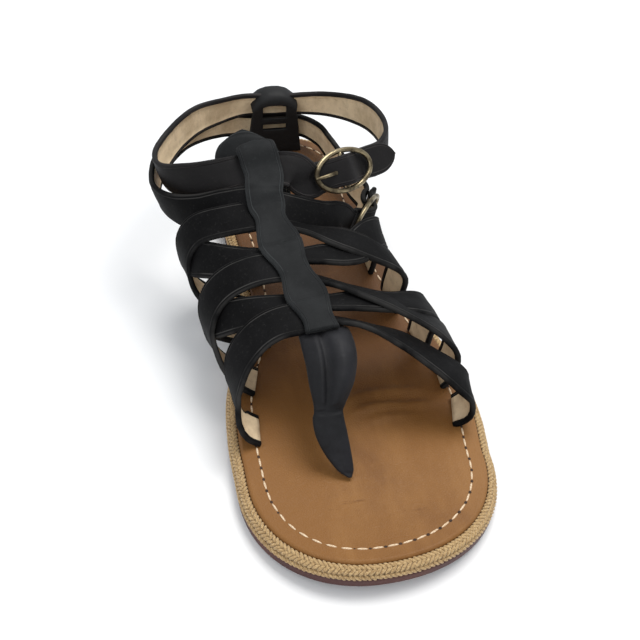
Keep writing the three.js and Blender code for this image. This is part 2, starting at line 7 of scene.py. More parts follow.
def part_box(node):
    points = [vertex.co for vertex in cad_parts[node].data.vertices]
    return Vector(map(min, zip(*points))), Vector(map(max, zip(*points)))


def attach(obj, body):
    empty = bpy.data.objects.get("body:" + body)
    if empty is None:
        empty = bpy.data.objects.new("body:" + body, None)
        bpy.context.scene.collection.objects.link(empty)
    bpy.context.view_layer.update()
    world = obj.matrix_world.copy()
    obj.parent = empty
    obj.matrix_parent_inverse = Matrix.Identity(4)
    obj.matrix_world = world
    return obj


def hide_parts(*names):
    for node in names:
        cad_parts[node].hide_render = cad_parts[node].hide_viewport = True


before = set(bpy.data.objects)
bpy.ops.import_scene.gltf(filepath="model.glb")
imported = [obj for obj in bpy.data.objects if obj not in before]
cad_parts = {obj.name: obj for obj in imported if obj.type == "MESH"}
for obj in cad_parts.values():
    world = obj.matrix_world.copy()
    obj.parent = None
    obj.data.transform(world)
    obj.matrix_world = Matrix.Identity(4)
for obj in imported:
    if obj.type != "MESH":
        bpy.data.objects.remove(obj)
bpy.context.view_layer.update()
mm = 0.001
print("frame loaded:", ", ".join(sorted(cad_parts)))

# The shoe's own measures, in millimetres as the shoemaker's last gives them
sole = {
    "length": 252,
    "ballWidth": 93,
    "insoleThickness": 6,
    "outsoleThickness": 3.4,
    "heelHeight": 5,
    "toeSpring": 3,
    "instepHeight": 54,
    "ropeWidth": 3.4,
    "gap": 0.35,
    "strapInset": 8,
    "toe": {"axis": -4, "start": -82, "innerPower": 2.12, "outerPower": 2.15},
    "heel": {"axis": 0, "start": 92, "power": 2.1},
    "outline": [
        {"y": -82, "inner": -0.468, "outer": 0.478},
        {"y": -60, "inner": -0.47, "outer": 0.503},
        {"y": -35, "inner": -0.438, "outer": 0.488},
        {"y": -5, "inner": -0.325, "outer": 0.415},
        {"y": 25, "inner": -0.305, "outer": 0.345},
        {"y": 60, "inner": -0.325, "outer": 0.31},
        {"y": 92, "inner": -0.33, "outer": 0.315},
    ],
    "last": [
        {"y": -92, "ridge": -0.06, "rise": 0.02, "inner": -0.45, "outer": 0.45, "belly": 0.1},
        {"y": -72, "ridge": -0.12, "rise": 0.38, "inner": -0.46, "outer": 0.465, "belly": 0.17},
        {"y": -50, "ridge": -0.11, "rise": 0.57, "inner": -0.47, "outer": 0.46, "belly": 0.26},
        {"y": -25, "ridge": -0.15, "rise": 0.64, "inner": -0.515, "outer": 0.405, "belly": 0.32},
        {"y": 5, "ridge": -0.22, "rise": 0.72, "inner": -0.565, "outer": 0.29, "belly": 0.4},
        {"y": 32, "ridge": -0.25, "rise": 0.83, "inner": -0.62, "outer": 0.285, "belly": 0.48},
        {"y": 50, "ridge": -0.29, "rise": 1.08, "inner": -0.67, "outer": 0.315, "belly": 0.52},
    ],
}
toeEnd = -sole["length"] / 2
heelEnd = sole["length"] / 2
strap = {"width": 15, "thickness": 2.2, "layer": 1.8, "bedding": 1.3, "edgeFold": 2.1, "step": 1.8}


def clamp(value, low, high):
    return min(high, max(low, value))


def mix(a, b, t):
    return a + (b - a) * t


def ease(t):
    t = clamp(t, 0, 1)
    return t * t * (3 - 2 * t)


def bump(value, centre, width):
    return math.exp(-((value - centre) / width) ** 2)


def smooth(rows, key, column, at):
    # Catmull-Rom value of one column of a table
    top = len(rows) - 1
    if at <= rows[0][key]:
        return rows[0][column]
    if at >= rows[top][key]:
        return rows[top][column]
    i = next(n for n in range(top) if at < rows[n + 1][key])
    a, b = rows[i], rows[i + 1]
    before, after = rows[max(i - 1, 0)], rows[min(i + 2, top)]
    span = b[key] - a[key]
    t = (at - a[key]) / span
    slopeA = (b[column] - before[column]) / (b[key] - before[key]) * span
    slopeB = (after[column] - a[column]) / (after[key] - a[key]) * span
    return (a[column] * (2 * t ** 3 - 3 * t ** 2 + 1) + slopeA * (t ** 3 - 2 * t ** 2 + t)
            + b[column] * (3 * t ** 2 - 2 * t ** 3) + slopeB * (t ** 3 - t ** 2))


def soleEdge(y, side):
    base = smooth(sole["outline"], "y", "inner" if side < 0 else "outer", y) * sole["ballWidth"]
    toe, heel = sole["toe"], sole["heel"]
    if y < toe["start"]:
        power = toe["innerPower"] if side < 0 else toe["outerPower"]
        reach = clamp((toe["start"] - y) / (toe["start"] - toeEnd), 0, 1)
        return toe["axis"] + (base - toe["axis"]) * (1 - reach ** power) ** (1 / power)
    if y > heel["start"]:
        power = heel["power"]
        reach = clamp((y - heel["start"]) / (heelEnd - heel["start"]), 0, 1)
        return heel["axis"] + (base - heel["axis"]) * (1 - reach ** power) ** (1 / power)
    return base


def soleBase(y):
    if y < -92:
        return sole["toeSpring"] * ((-92 - y) / (-92 - toeEnd)) ** 2
    return sole["heelHeight"] * ease((y + 30) / 88)


def insoleBottom(y):
    return soleBase(y) + sole["outsoleThickness"] + sole["gap"]


def insoleTop(y):
    return insoleBottom(y) + sole["insoleThickness"]


def lastPoint(y, wrap, side):
    ridge = smooth(sole["last"], "y", "ridge", y) * sole["ballWidth"]
    belly = insoleTop(y) + smooth(sole["last"], "y", "belly", y) * sole["instepHeight"]
    top = insoleTop(y) + smooth(sole["last"], "y", "rise", y) * sole["instepHeight"]
    widest = smooth(sole["last"], "y", "inner" if side < 0 else "outer", y) * sole["ballWidth"]
    if wrap <= 90:
        angle = math.radians(wrap)
        return Vector((ridge + (widest - ridge) * math.sin(angle) ** 0.92, y,
                       belly + (top - belly) * max(math.cos(angle), 0) ** 0.92))
    foot = soleEdge(y, side) - side * sole["strapInset"]
    down = (wrap - 90) / 90
    return Vector((mix(widest, foot, down ** 2.6), y, mix(belly, insoleTop(y) + sole["gap"], down)))


def lastNormal(y, wrap, side):
    low = max(wrap - 1, 0.5)
    around = lastPoint(y, low + 2, side) - lastPoint(y, low, side)
    along = lastPoint(y + 1, low + 1, side) - lastPoint(y - 1, low + 1, side)
    return (around.cross(along) * (-1 if side < 0 else 1)).normalized()


def ridgeFrame(y, lift, width):
    slope = (lastPoint(y + 1, 0, 1) - lastPoint(y - 1, 0, 1)).normalized()
    normal = Vector((0, -slope.z, slope.y)).normalized()
    return {"point": lastPoint(y, 0, 1) + normal * lift, "normal": normal, "width": width}


def lastHeight(y, x):
    ridge = smooth(sole["last"], "y", "ridge", y) * sole["ballWidth"]
    side = -1 if x < ridge else 1
    widest = smooth(sole["last"], "y", "inner" if side < 0 else "outer", y) * sole["ballWidth"]
    reach = clamp((x - ridge) / (widest - ridge), 0, 1) ** (1 / 0.92)
    return lastPoint(y, math.degrees(math.asin(reach)), side).z


# The CAD model is centred on its box: this moves a point of the last to its place in the frame.
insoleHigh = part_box("insole")[1]
widestOuter = max(soleEdge(y, 1) for y in range(-80, -40))
shift = Vector((insoleHigh.x - widestOuter * mm, 0, 0))


def placed(point):
    return Vector(point) * mm + shift


# Shader helper: a socket that takes part in Python sums
class Value:
    def __init__(self, maker, socket):
        self.maker = maker
        self.socket = socket

    def math(self, operation, *others):
        return self.maker.add("ShaderNodeMath", {"operation": operation},
                              dict(enumerate((self,) + others)))

    def __add__(self, other):
        return self.math("ADD", other)

    def __radd__(self, other):
        return self.math("ADD", other)

    def __sub__(self, other):
        return self.math("SUBTRACT", other)

    def __rsub__(self, other):
        return self.maker.add("ShaderNodeMath", {"operation": "SUBTRACT"}, {0: other, 1: self})

    def __mul__(self, other):
        return self.math("MULTIPLY", other)

    def __rmul__(self, other):
        return self.math("MULTIPLY", other)

    def step(self, low, high):
        return self.maker.add("ShaderNodeMapRange", {"interpolation_type": "SMOOTHSTEP"},
                              {"Value": self, "From Min": low, "From Max": high})


class Maker:
    # One material's node tree
    def __init__(self, name, viewColour):
        self.material = bpy.data.materials.new(name)
        self.material.use_nodes = True
        self.material.diffuse_color = (*viewColour, 1)
        self.tree = self.material.node_tree
        self.shader = self.tree.nodes["Principled BSDF"]
        self.coords = None

    def add(self, kind, settings=None, values=None, out=0):
        node = self.tree.nodes.new(kind)
        for key, value in (settings or {}).items():
            setattr(node, key, value)
        for key, value in (values or {}).items():
            self.plug(node.inputs[key], value)
        return Value(self, node.outputs[out])

    def plug(self, socket, value):
        if isinstance(value, Value):
            self.tree.links.new(value.socket, socket)
        elif isinstance(value, tuple) and socket.type == "RGBA":
            socket.default_value = (*value, 1)
        else:
            socket.default_value = value

    def place(self):
        if self.coords is None:
            self.coords = self.add("ShaderNodeTexCoord", out="Object")
        return self.coords

    def stretched(self, scale, turn=(0, 0, 0)):
        return self.add("ShaderNodeMapping", {}, {"Vector": self.place(), "Scale": scale, "Rotation": turn})

    def noise(self, scale, detail=4, roughness=0.55, source=None):
        return self.add("ShaderNodeTexNoise", {}, {
            "Vector": source or self.place(), "Scale": scale, "Detail": detail, "Roughness": roughness})

    def cells(self, scale):
        return self.add("ShaderNodeTexVoronoi", {"feature": "DISTANCE_TO_EDGE"}, {
            "Vector": self.place(), "Scale": scale})

    def inFromEdge(self):
        # Distance in from the strap's edge, in metres, kept in the strap's own map
        uv = self.add("ShaderNodeUVMap", {"uv_map": "strip"})
        return self.add("ShaderNodeSeparateXYZ", {}, {0: uv}, 1)

    def blendColours(self, amount, a, b):
        node = self.tree.nodes.new("ShaderNodeMix")
        node.data_type = "RGBA"
        self.plug(node.inputs["Factor"], amount)
        self.plug(node.inputs[6], a)
        self.plug(node.inputs[7], b)
        return Value(self, node.outputs[2])

    def finish(self, colour, roughness, height=None, depth=1.0, **fixed):
        self.plug(self.shader.inputs["Base Color"], colour)
        self.plug(self.shader.inputs["Roughness"], roughness)
        for key, value in fixed.items():
            self.plug(self.shader.inputs[key.replace("_", " ")], value)
        if height is not None:
            normal = self.add("ShaderNodeBump", {}, {
                "Height": height, "Distance": depth * mm, "Strength": 1.0})
            self.plug(self.shader.inputs["Normal"], normal)
        return self.material


def leatherNubuck(name, dark, light, line, sheen=0.0, gloss=0.08, edgeGrooveAndHighlight=True):
    # Brushed black leather: fine nap, cloudy wear, and along the folded edge a pressed crease painted paler
    # as a highlight, with a paler rim that is part edge wear, part painted highlight
    make = Maker(name, dark)
    cloud = make.noise(38, 5, 0.6)
    nap = make.noise(900, 3, 0.7)
    creases = make.noise(130, 4, 0.55, make.stretched((1, 1, 2.2)))
    worn = cloud.step(0.4, 0.7)
    colour = make.blendColours(worn, dark, light)
    colour = make.blendColours(nap.step(0.55, 0.85) * 0.4, colour, line)
    height = nap * 0.3 + creases * 0.9 + cloud * 0.7
    if edgeGrooveAndHighlight:
        # The crease is a real pressed groove in the bump, but its paler colour is a painted highlight; the
        # rim lightening is part edge wear, part painted highlight
        inward = make.inFromEdge()
        creaseAndHighlight = inward.step(0.0011, 0.00145) * (1 - inward.step(0.0015, 0.0019))
        rim = 1 - inward.step(0.0001, 0.0009)
        patchy = make.noise(55, 3, 0.6).step(0.36, 0.62)
        colour = make.blendColours(creaseAndHighlight * (patchy * 0.75 + 0.15), colour, line)
        colour = make.blendColours(rim * patchy * 0.45, colour, line)
        height = height - creaseAndHighlight * 1.2
    return make.finish(colour, nap * 0.12 + 0.6 - worn * 0.08, height, 0.25,
                       Sheen_Weight=sheen, Sheen_Roughness=0.4, Specular_IOR_Level=gloss)


def liningLeather():
    make = Maker("liningLeather", (0.62, 0.5, 0.36))
    cloud = make.noise(70, 5, 0.65)
    grain = make.cells(1500)
    rubbed = make.noise(420, 4, 0.7)
    colour = make.blendColours(cloud.step(0.38, 0.68), (0.76, 0.6, 0.395), (0.54, 0.405, 0.25))
    colour = make.blendColours(rubbed.step(0.52, 0.75) * 0.5, colour, (0.4, 0.285, 0.165))
    return make.finish(colour, cloud * 0.2 + 0.5, grain.step(0.0, 0.25) * 0.5 + rubbed * 0.7, 0.12,
                       Specular_IOR_Level=0.35)


def insoleLeather():
    # Tan sock leather: caramel at the toe, darker under the arch, with scuffs and fine grain
    make = Maker("insoleLeather", (0.33, 0.17, 0.07))
    back = make.add("ShaderNodeSeparateXYZ", {}, {0: make.place()}, 1)
    cloud = make.noise(22, 5, 0.6)
    fine = make.noise(240, 5, 0.65)
    pores = make.cells(1100)
    tone = (back + (cloud - 0.5) * 0.05).step(-0.085, 0.02)
    colour = make.blendColours(tone, (0.225, 0.098, 0.024), (0.105, 0.043, 0.011))
    colour = make.blendColours(cloud.step(0.45, 0.72) * 0.75, colour, (0.15, 0.06, 0.015))
    drag = make.noise(9, 5, 0.65, make.stretched((3, 0.8, 1), (0, 0, 0.3)))
    colour = make.blendColours(drag.step(0.5, 0.72) * 0.5, colour, (0.31, 0.15, 0.045))
    scratches = make.noise(1, 3, 0.6, make.stretched((40, 260, 1), (0, 0, 0.5)))
    scuffZone = (1 - (back + 0.098).math("ABSOLUTE").step(0.004, 0.022))
    scuffs = scratches.step(0.6, 0.7) * scuffZone * fine.step(0.45, 0.6)
    colour = make.blendColours(scuffs * 0.55, colour, (0.12, 0.05, 0.02))
    colour = make.blendColours(fine.step(0.55, 0.8) * 0.22, colour, (0.28, 0.135, 0.04))
    height = pores.step(0.0, 0.2) * 0.35 + fine * 0.6 + cloud * 1.5 - scuffs * 0.6
    return make.finish(colour, fine * 0.16 + 0.44 + scuffs * 0.2, height, 0.16,
                       Specular_IOR_Level=0.28)


def juteFibre(name, light, deep):
    make = Maker(name, light)
    fibre = make.noise(1600, 4, 0.7)
    tuft = make.noise(320, 3, 0.6)
    cloud = make.noise(45, 3, 0.5)
    colour = make.blendColours(fibre.step(0.35, 0.7), deep, light)
    colour = make.blendColours(cloud.step(0.4, 0.7) * 0.35, colour, (0.5, 0.34, 0.16))
    return make.finish(colour, tuft * 0.15 + 0.75, fibre * 1.0 + tuft * 0.8, 0.3,
                       Sheen_Weight=0.2, Sheen_Roughness=0.5, Specular_IOR_Level=0.25)


def edgeLeather(name, base, rub, roughness):
    # Inked sole leather, with thin layers showing at the edge
    make = Maker(name, base)
    cloud = make.noise(60, 4, 0.6)
    layers = make.noise(1, 3, 0.5, make.stretched((40, 40, 2600)))
    colour = make.blendColours(cloud.step(0.4, 0.75), base, rub)
    colour = make.blendColours(layers.step(0.45, 0.7) * 0.4, colour, tuple(c * 0.45 for c in base))
    return make.finish(colour, cloud * 0.2 + roughness, layers * 0.6 + cloud * 0.5, 0.15)


def threadMaterial():
    make = Maker("stitchThread", (0.8, 0.62, 0.42))
    twist = make.noise(2600, 2, 0.5)
    colour = make.blendColours(twist.step(0.35, 0.7), (0.56, 0.38, 0.22), (0.88, 0.72, 0.52))
    return make.finish(colour, 0.7, twist, 0.12, Sheen_Weight=0.15)


def antiqueBrass():
    make = Maker("antiqueBrass", (0.3, 0.25, 0.15))
    cloud = make.noise(180, 4, 0.6)
    pits = make.noise(1400, 3, 0.6)
    patina = cloud.step(0.38, 0.66)
    colour = make.blendColours(patina, (0.3, 0.245, 0.15), (0.07, 0.055, 0.035))
    return make.finish(colour, patina * 0.25 + 0.3, pits * 0.5 + cloud * 0.5, 0.08,
                       Metallic=1.0)


def plainDark(name, colour):
    make = Maker(name, colour)
    speck = make.noise(800, 2, 0.5)
    shade = make.blendColours(speck.step(0.4, 0.7), colour, tuple(c * 1.6 for c in colour))
    return make.finish(shade, 0.85, speck, 0.05)


# The third colour gives the pale nap flecks and the painted highlight along each strap's edge crease and
# rim
black = leatherNubuck("strapNubuck", (0.0022, 0.0021, 0.0023), (0.0056, 0.0054, 0.0058),
                      (0.055, 0.053, 0.05))
spineBlack = leatherNubuck("spineNubuck", (0.0112, 0.0118, 0.0122), (0.0175, 0.0184, 0.019),
                           (0.042, 0.045, 0.046), 0.03)
thongBlack = leatherNubuck("thongNubuck", (0.0042, 0.0043, 0.0052), (0.0095, 0.0094, 0.0118),
                           (0.024, 0.023, 0.03), 0.04, 0.24, False)
ankleBlack = leatherNubuck("ankleLeather", (0.0036, 0.0028, 0.0029), (0.007, 0.0056, 0.0058),
                           (0.03, 0.025, 0.024), 0.0, 0.22)
tabBlack = leatherNubuck("heelTabLeather", (0.0028, 0.0028, 0.0031), (0.0052, 0.0052, 0.0056),
                         (0.012, 0.012, 0.013), 0.0, 0.3, False)
lining = liningLeather()
tan = insoleLeather()
juteLight = juteFibre("juteStrand", (0.62, 0.44, 0.22), (0.3, 0.18, 0.075))
# Darker jute for the core between the strands: painted shade in the gaps
juteGapShade = juteFibre("juteCoreShade", (0.34, 0.23, 0.11), (0.16, 0.1, 0.045))
oxblood = edgeLeather("outsoleLeather", (0.062, 0.014, 0.011), (0.1, 0.03, 0.02), 0.42)
heelDark = edgeLeather("heelRubber", (0.022, 0.011, 0.008), (0.04, 0.02, 0.014), 0.6)
thread = threadMaterial()
brass = antiqueBrass()
# Near-black for the stitch holes: painted shade in the recesses
stitchHoleShade = plainDark("paintedHoleShade", (0.03, 0.014, 0.007))
print("materials made:", len(bpy.data.materials))


# Mesh helpers
def meshPiece(name, points, faces, materials, indices=None, strip=None):
    mesh = bpy.data.meshes.new(name)
    mesh.from_pydata([placed(p) for p in points], [], faces)
    for material in materials:
        mesh.materials.append(material)
    if indices:
        mesh.polygons.foreach_set("material_index", indices)
    if strip:
        layer = mesh.uv_layers.new(name="strip")
        flat = [c for loop in mesh.loops for c in strip[loop.vertex_index]]
        layer.data.foreach_set("uv", flat)
    mesh.shade_smooth()
    mesh.validate()
    mesh.update()
    piece = bpy.data.objects.new(name, mesh)
    bpy.context.scene.collection.objects.link(piece)
    return piece


def settle(piece, slot, *nodes):
    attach(piece, "root")
    if nodes:
        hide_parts(*nodes)
    return piece


def bake(piece):
    # A piece's modifiers turned into plain mesh
    graph = bpy.context.evaluated_depsgraph_get()
    mesh = bpy.data.meshes.new_from_object(piece.evaluated_get(graph), depsgraph=graph)
    piece.modifiers.clear()
    old = piece.data
    piece.data = mesh
    bpy.data.meshes.remove(old)
    return piece


def ringFaces(rings, count, flip=False, closed=False):
    # Faces between rings of points, with two end caps unless the rings close on themselves
    faces = []
    for i in range(rings if closed else rings - 1):
        a, b = i * count, (i + 1) % rings * count
        for j in range(count):
            k = (j + 1) % count
            faces.append((a + j, a + k, b + k, b + j))
    if not closed:
        faces.append(tuple(reversed(range(count))))
        faces.append(tuple(range((rings - 1) * count, rings * count)))
    return [tuple(reversed(face)) for face in faces] if flip else faces


def heading(path, i, closed=False):
    # Direction of a path at one of its points
    count = len(path)
    before = path[(i - 1) % count] if closed else path[max(i - 1, 0)]
    after = path[(i + 1) % count] if closed else path[min(i + 1, count - 1)]
    return (after - before).normalized()


def curveThrough(rows, samples):
    # Centripetal Catmull-Rom curve through the rows, as points with their place among the rows
    points = [Vector((r["x"], r["y"], r["z"])) for r in rows]
    points = [points[0] * 2 - points[1]] + points + [points[-1] * 2 - points[-2]]
    out = []
    for n in range(samples + 1):
        at = (len(rows) - 1) * n / samples
        i = min(int(at), len(rows) - 2)
        w = at - i
        p0, p1, p2, p3 = points[i:i + 4]
        d0, d1, d2 = (max((b - a).length, 1e-4) ** 0.5 for a, b in ((p0, p1), (p1, p2), (p2, p3)))
        t1 = ((p1 - p0) / d0 - (p2 - p0) / (d0 + d1) + (p2 - p1) / d1) * d1
        t2 = ((p2 - p1) / d1 - (p3 - p1) / (d1 + d2) + (p3 - p2) / d2) * d1
        point = (p1 + t1 * w + (p2 * 3 - p1 * 3 - t1 * 2 - t2) * w ** 2
                 + (p1 * 2 - p2 * 2 + t1 + t2) * w ** 3)
        out.append((point, at))
    return out


def evenly(frames, step):
    # Frames at even steps along the same path
    lengths = [0.0]
    for a, b in zip(frames, frames[1:]):
        lengths.append(lengths[-1] + (b["point"] - a["point"]).length)
    total = lengths[-1]
    count = max(int(total / step), 4)
    out = []
    i = 0
    for n in range(count + 1):
        want = total * n / count
        while i < len(lengths) - 2 and lengths[i + 1] < want:
            i += 1
        t = (want - lengths[i]) / max(lengths[i + 1] - lengths[i], 1e-6)
        a, b = frames[i], frames[i + 1]
        out.append({
            "point": a["point"].lerp(b["point"], t),
            "normal": a["normal"].lerp(b["normal"], t).normalized(),
            "width": mix(a["width"], b["width"], t),
            "at": want, "left": total - want,
        })
    return out


def strapSection(half, t):
    # From the middle of the face, over the folded edge, to the middle below:
    # distance out, height, and whether the next strip is lining
    fold = min(strap["edgeFold"], half * 0.55)
    inner = half - fold
    rows = [(0, t + 0.16, 0), (inner * 0.5, t + 0.13, 0), (inner * 0.85, t + 0.05, 0),
            (half - 1.75, t - 0.02, 0), (half - 1.3, t - 0.16, 0), (half - 0.95, t - 0.01, 0)]
    for angle in (58, 28, 0, -30, -60):
        a = math.radians(angle)
        rows.append((half - 0.72 * t + 0.72 * t * math.cos(a), t * 0.97 * math.sin(a), 0))
    rows += [(half - 1.0, -t, 0), (inner + 0.35, -t, 0), (inner, -t + 0.3, 1),
             (inner * 0.5, -t + 0.22, 1), (0, -t + 0.2, 1)]
    return [(max(w, 0), h, mark) for w, h, mark in rows]


def strapMesh(name, frames, leather, seed=0.0, tip=0, ridges=None):
    # A folded leather strap with its lining, swept along its frames
    points, strip = [], []
    thickness = strap["thickness"]
    path = [f["point"] for f in frames]
    for i, f in enumerate(frames):
        along = heading(path, i)
        across = along.cross(f["normal"]).normalized()
        up = across.cross(along).normalized()
        width = f["width"] + 0.35 * noise.noise(Vector((f["at"] * 0.06, seed, 3)))
        if tip and f["left"] < tip:
            width *= max(1 - (1 - f["left"] / tip) ** 2.3, 0.02) ** 0.5
        half = width / 2
        section = strapSection(half, thickness / 2)
        full = section + [(-w, h, m) for w, h, m in reversed(section[1:-1])]
        for w, h, _ in full:
            wave = 0.3 * noise.noise(Vector((f["at"] * 0.05, w * 0.12, seed)))
            wave += 0.12 * noise.noise(Vector((f["at"] * 0.25, w * 0.4, seed + 7)))
            if ridges:
                wave += ridges(f["at"], w, f["left"])
            points.append(f["point"] + across * w + up * (h + wave))
            strip.append((f["at"] * mm, (half - abs(w)) * mm))
    count = len(full)
    liningStart = next(n for n, row in enumerate(full) if row[2])
    ringMarks = [1 if liningStart <= j < count - liningStart else 0 for j in range(count)]
    marks = ringMarks * (len(frames) - 1) + [0, 0]
    return meshPiece(name, points, ringFaces(len(frames), count, True), [leather, lining], marks, strip)


def joinPieces(name, pieces):
    first = pieces[0]
    with bpy.context.temp_override(active_object=first, selected_editable_objects=pieces,
                                   selected_objects=pieces):
        bpy.ops.object.join()
    first.name = name
    return first


# Side straps, over the last
# Each route's rows: place along the shoe, degrees round the last, lift off it, and a twist in degrees
over = strap["layer"]
sideStraps = {
    "firstInner": (-1, [
        (-38, 0, over, 0), (-39, 28, over, 0), (-45, 60, 0.4 * over, 0), (-53, 90, 0, 0),
        (-60, 130, 0, 0), (-61, 178, 0, 0)]),
    "firstOuter": (1, [
        (-38, 0, over, -20), (-42, 14, over, -45), (-49, 30, 0.6 * over, -34), (-57, 50, 0, -22),
        (-63, 80, 0, 0), (-64, 125, 0, 0), (-62, 178, 0, 0)]),
    "secondInner": (-1, [
        (-33, 0, 0, 0), (-30, 26, 0, 0), (-25, 62, 0, 0), (-17, 95, 0, 0), (-12, 135, 0, 0),
        (-10, 178, 0, 0)]),
    "secondOuter": (1, [
        (-31, 0, 2.7, 0), (-32, 14, 3.2, -6), (-30.5, 38, 0.6, -15), (-26, 75, 0, 0),
        (-22, 125, 0, 0), (-22, 178, 0, 0)]),
    "thirdInner": (-1, [
        (-12, 0, over, 0), (-12, 28, over, 0), (-15, 60, over, 0), (-23, 92, over, 0),
        (-32, 132, 0, 0), (-36, 178, 0, 0)]),
    "thirdOuter": (1, [
        (-15, 0, over, -20), (-22, 14, over, -42), (-30, 30, over, -28), (-38, 52, 0.6 * over, -15),
        (-43, 85, 0, 0), (-43, 128, 0, 0), (-42, 178, 0, 0)]),
    "fourthInner": (-1, [
        (-10, 0, 0, 0), (-6, 28, 0, 0), (4, 62, 0, 0), (16, 95, 0, 0), (24, 135, 0, 0),
        (26, 178, 0, 0)]),
    "fourthOuter": (1, [
        (-7, 0, 2.7, 0), (-8, 13, 3.2, -6), (-5, 32, 0.8, -10), (10, 65, 0, 0), (22, 120, 0, 0),
        (26, 178, 0, 0)]),
    "fifthInner": (-1, [
        (13, 0, over, 0), (14, 28, over, 0), (16, 60, over, 0), (12, 92, over, 0), (4, 132, 0, 0),
        (0, 178, 0, 0)]),
    "fifthOuter": (1, [
        (11, 0, over, -15), (6, 14, over, -32), (1, 30, over, -15), (-3, 55, 0.5 * over, -5),
        (-3, 95, 0, 0), (-1, 130, 0, 0), (2, 178, 0, 0)]),
}


def sideFrames(side, route):
    rows = [{"n": n, "y": y, "wrap": wrap, "lift": lift, "turn": turn}
            for n, (y, wrap, lift, turn) in enumerate(route)]
    frames = []
    last = 160
    for n in range(last + 1):
        at = (len(rows) - 1) * n / last
        y = smooth(rows, "n", "y", at)
        wrap = clamp(smooth(rows, "n", "wrap", at), 0, 178)
        normal = lastNormal(y, wrap, side)
        lift = smooth(rows, "n", "lift", at) + strap["thickness"] / 2 - strap["bedding"]
        point = lastPoint(y, wrap, side) + normal * lift
        turn = smooth(rows, "n", "turn", at)
        pinch = ease(1 - wrap / 34) if turn < -1 or rows[0]["turn"] else 0
        point -= normal * 1.5 * pinch
        frames.append({"point": point, "normal": normal, "width": strap["width"] * (1 - 0.5 * pinch),
                       "turn": side * turn})
    path = [f["point"] for f in frames]
    for i, f in enumerate(frames):
        f["normal"] = Matrix.Rotation(math.radians(f["turn"]), 3, heading(path, i)) @ f["normal"]
    return evenly(frames, strap["step"])


for number, (name, (side, route)) in enumerate(sideStraps.items()):
    piece = strapMesh(name + "Strap", sideFrames(side, route), black, seed=number * 3.7)
    settle(piece, "strap_leather", "upper")
print("side straps made:", len(sideStraps))

# Spine with its keepers
bandLift = strap["thickness"] + 2 * sole["gap"] + 1.05
# Rows: place along the shoe, width, and lift off the ridge of the last
spine = {"steps": 150, "aside": 2.2, "seams": [16, 45, 71], "rows": [
    (-46, 13, 1.7 * over), (-40, 12, 1.45 * over), (-28, 16.6, 1.15 * over), (-15, 12.5, 1.45 * over),
    (-2, 17.4, 1.15 * over), (10, 12.5, 1.45 * over), (16, 15, 1.45 * over), (22, 15, bandLift + 0.6),
    (27, 15.5, bandLift + 0.2), (34, 16, bandLift + 0.2), (39.6, 16.4, bandLift + 0.4),
    (42, 16.4, 2.2), (43.6, 15.6, 0.9)]}
spineRows = [{"y": y, "width": w, "lift": lift} for y, w, lift in spine["rows"]]
spineFrames = []
for n in range(spine["steps"] + 1):
    y = mix(spineRows[0]["y"], spineRows[-1]["y"], n / spine["steps"])
    lift = smooth(spineRows, "y", "lift", y) + strap["thickness"] / 2
    ridge = ridgeFrame(y, lift, smooth(spineRows, "y", "width", y))
    ridge["point"].x += spine["aside"] * ease((y - 20) / 12)  # the band sits off centre
    spineFrames.append(ridge)


def seamGroove(at, w, left):
    # Seams stand at their distance along the spine from its toe end
    return -0.75 * max(bump(at, seam + 0.015 * w * w, 0.5) for seam in spine["seams"])


settle(strapMesh("spine", evenly(spineFrames, 0.9), spineBlack, seed=50, tip=3, ridges=seamGroove),
       "strap_leather", "upper")
print("spine made")

# Thong: gathered fold, seam, and the post between the toes
thong = {"around": 56, "between": 12, "rows": [
    {"y": -43, "x": -9.5, "z": 41.2, "wide": 19, "deep": 4, "fold": 0.3},
    {"y": -50, "x": -9.2, "z": 41.6, "wide": 19.5, "deep": 6.4, "fold": 1.4},
    {"y": -57, "x": -9, "z": 39.2, "wide": 18.8, "deep": 8.6, "fold": 2.4},
    {"y": -64, "x": -10, "z": 35.2, "wide": 16.4, "deep": 8.6, "fold": 2.6},
    {"y": -69, "x": -11.4, "z": 31.4, "wide": 12.4, "deep": 6.2, "fold": 1.6},
    {"y": -71, "x": -12.2, "z": 29.6, "wide": 11, "deep": 4, "fold": 0.3},
    {"y": -71.8, "x": -12.5, "z": 28.8, "wide": 10.6, "deep": 3.2, "fold": 0},
    {"y": -73, "x": -12.8, "z": 27.6, "wide": 11.2, "deep": 3.8, "fold": 0.1},
    {"y": -77, "x": -12.3, "z": 23.4, "wide": 11.6, "deep": 3.6, "fold": 0.3},
    {"y": -81.5, "x": -10.6, "z": 18, "wide": 9.8, "deep": 3, "fold": 0.3},
    {"y": -86, "x": -8.2, "z": 12.6, "wide": 5.8, "deep": 2.6, "fold": 0.1},
    {"y": -88, "x": -7, "z": 10.7, "wide": 1.4, "deep": 1.6, "fold": 0}]}


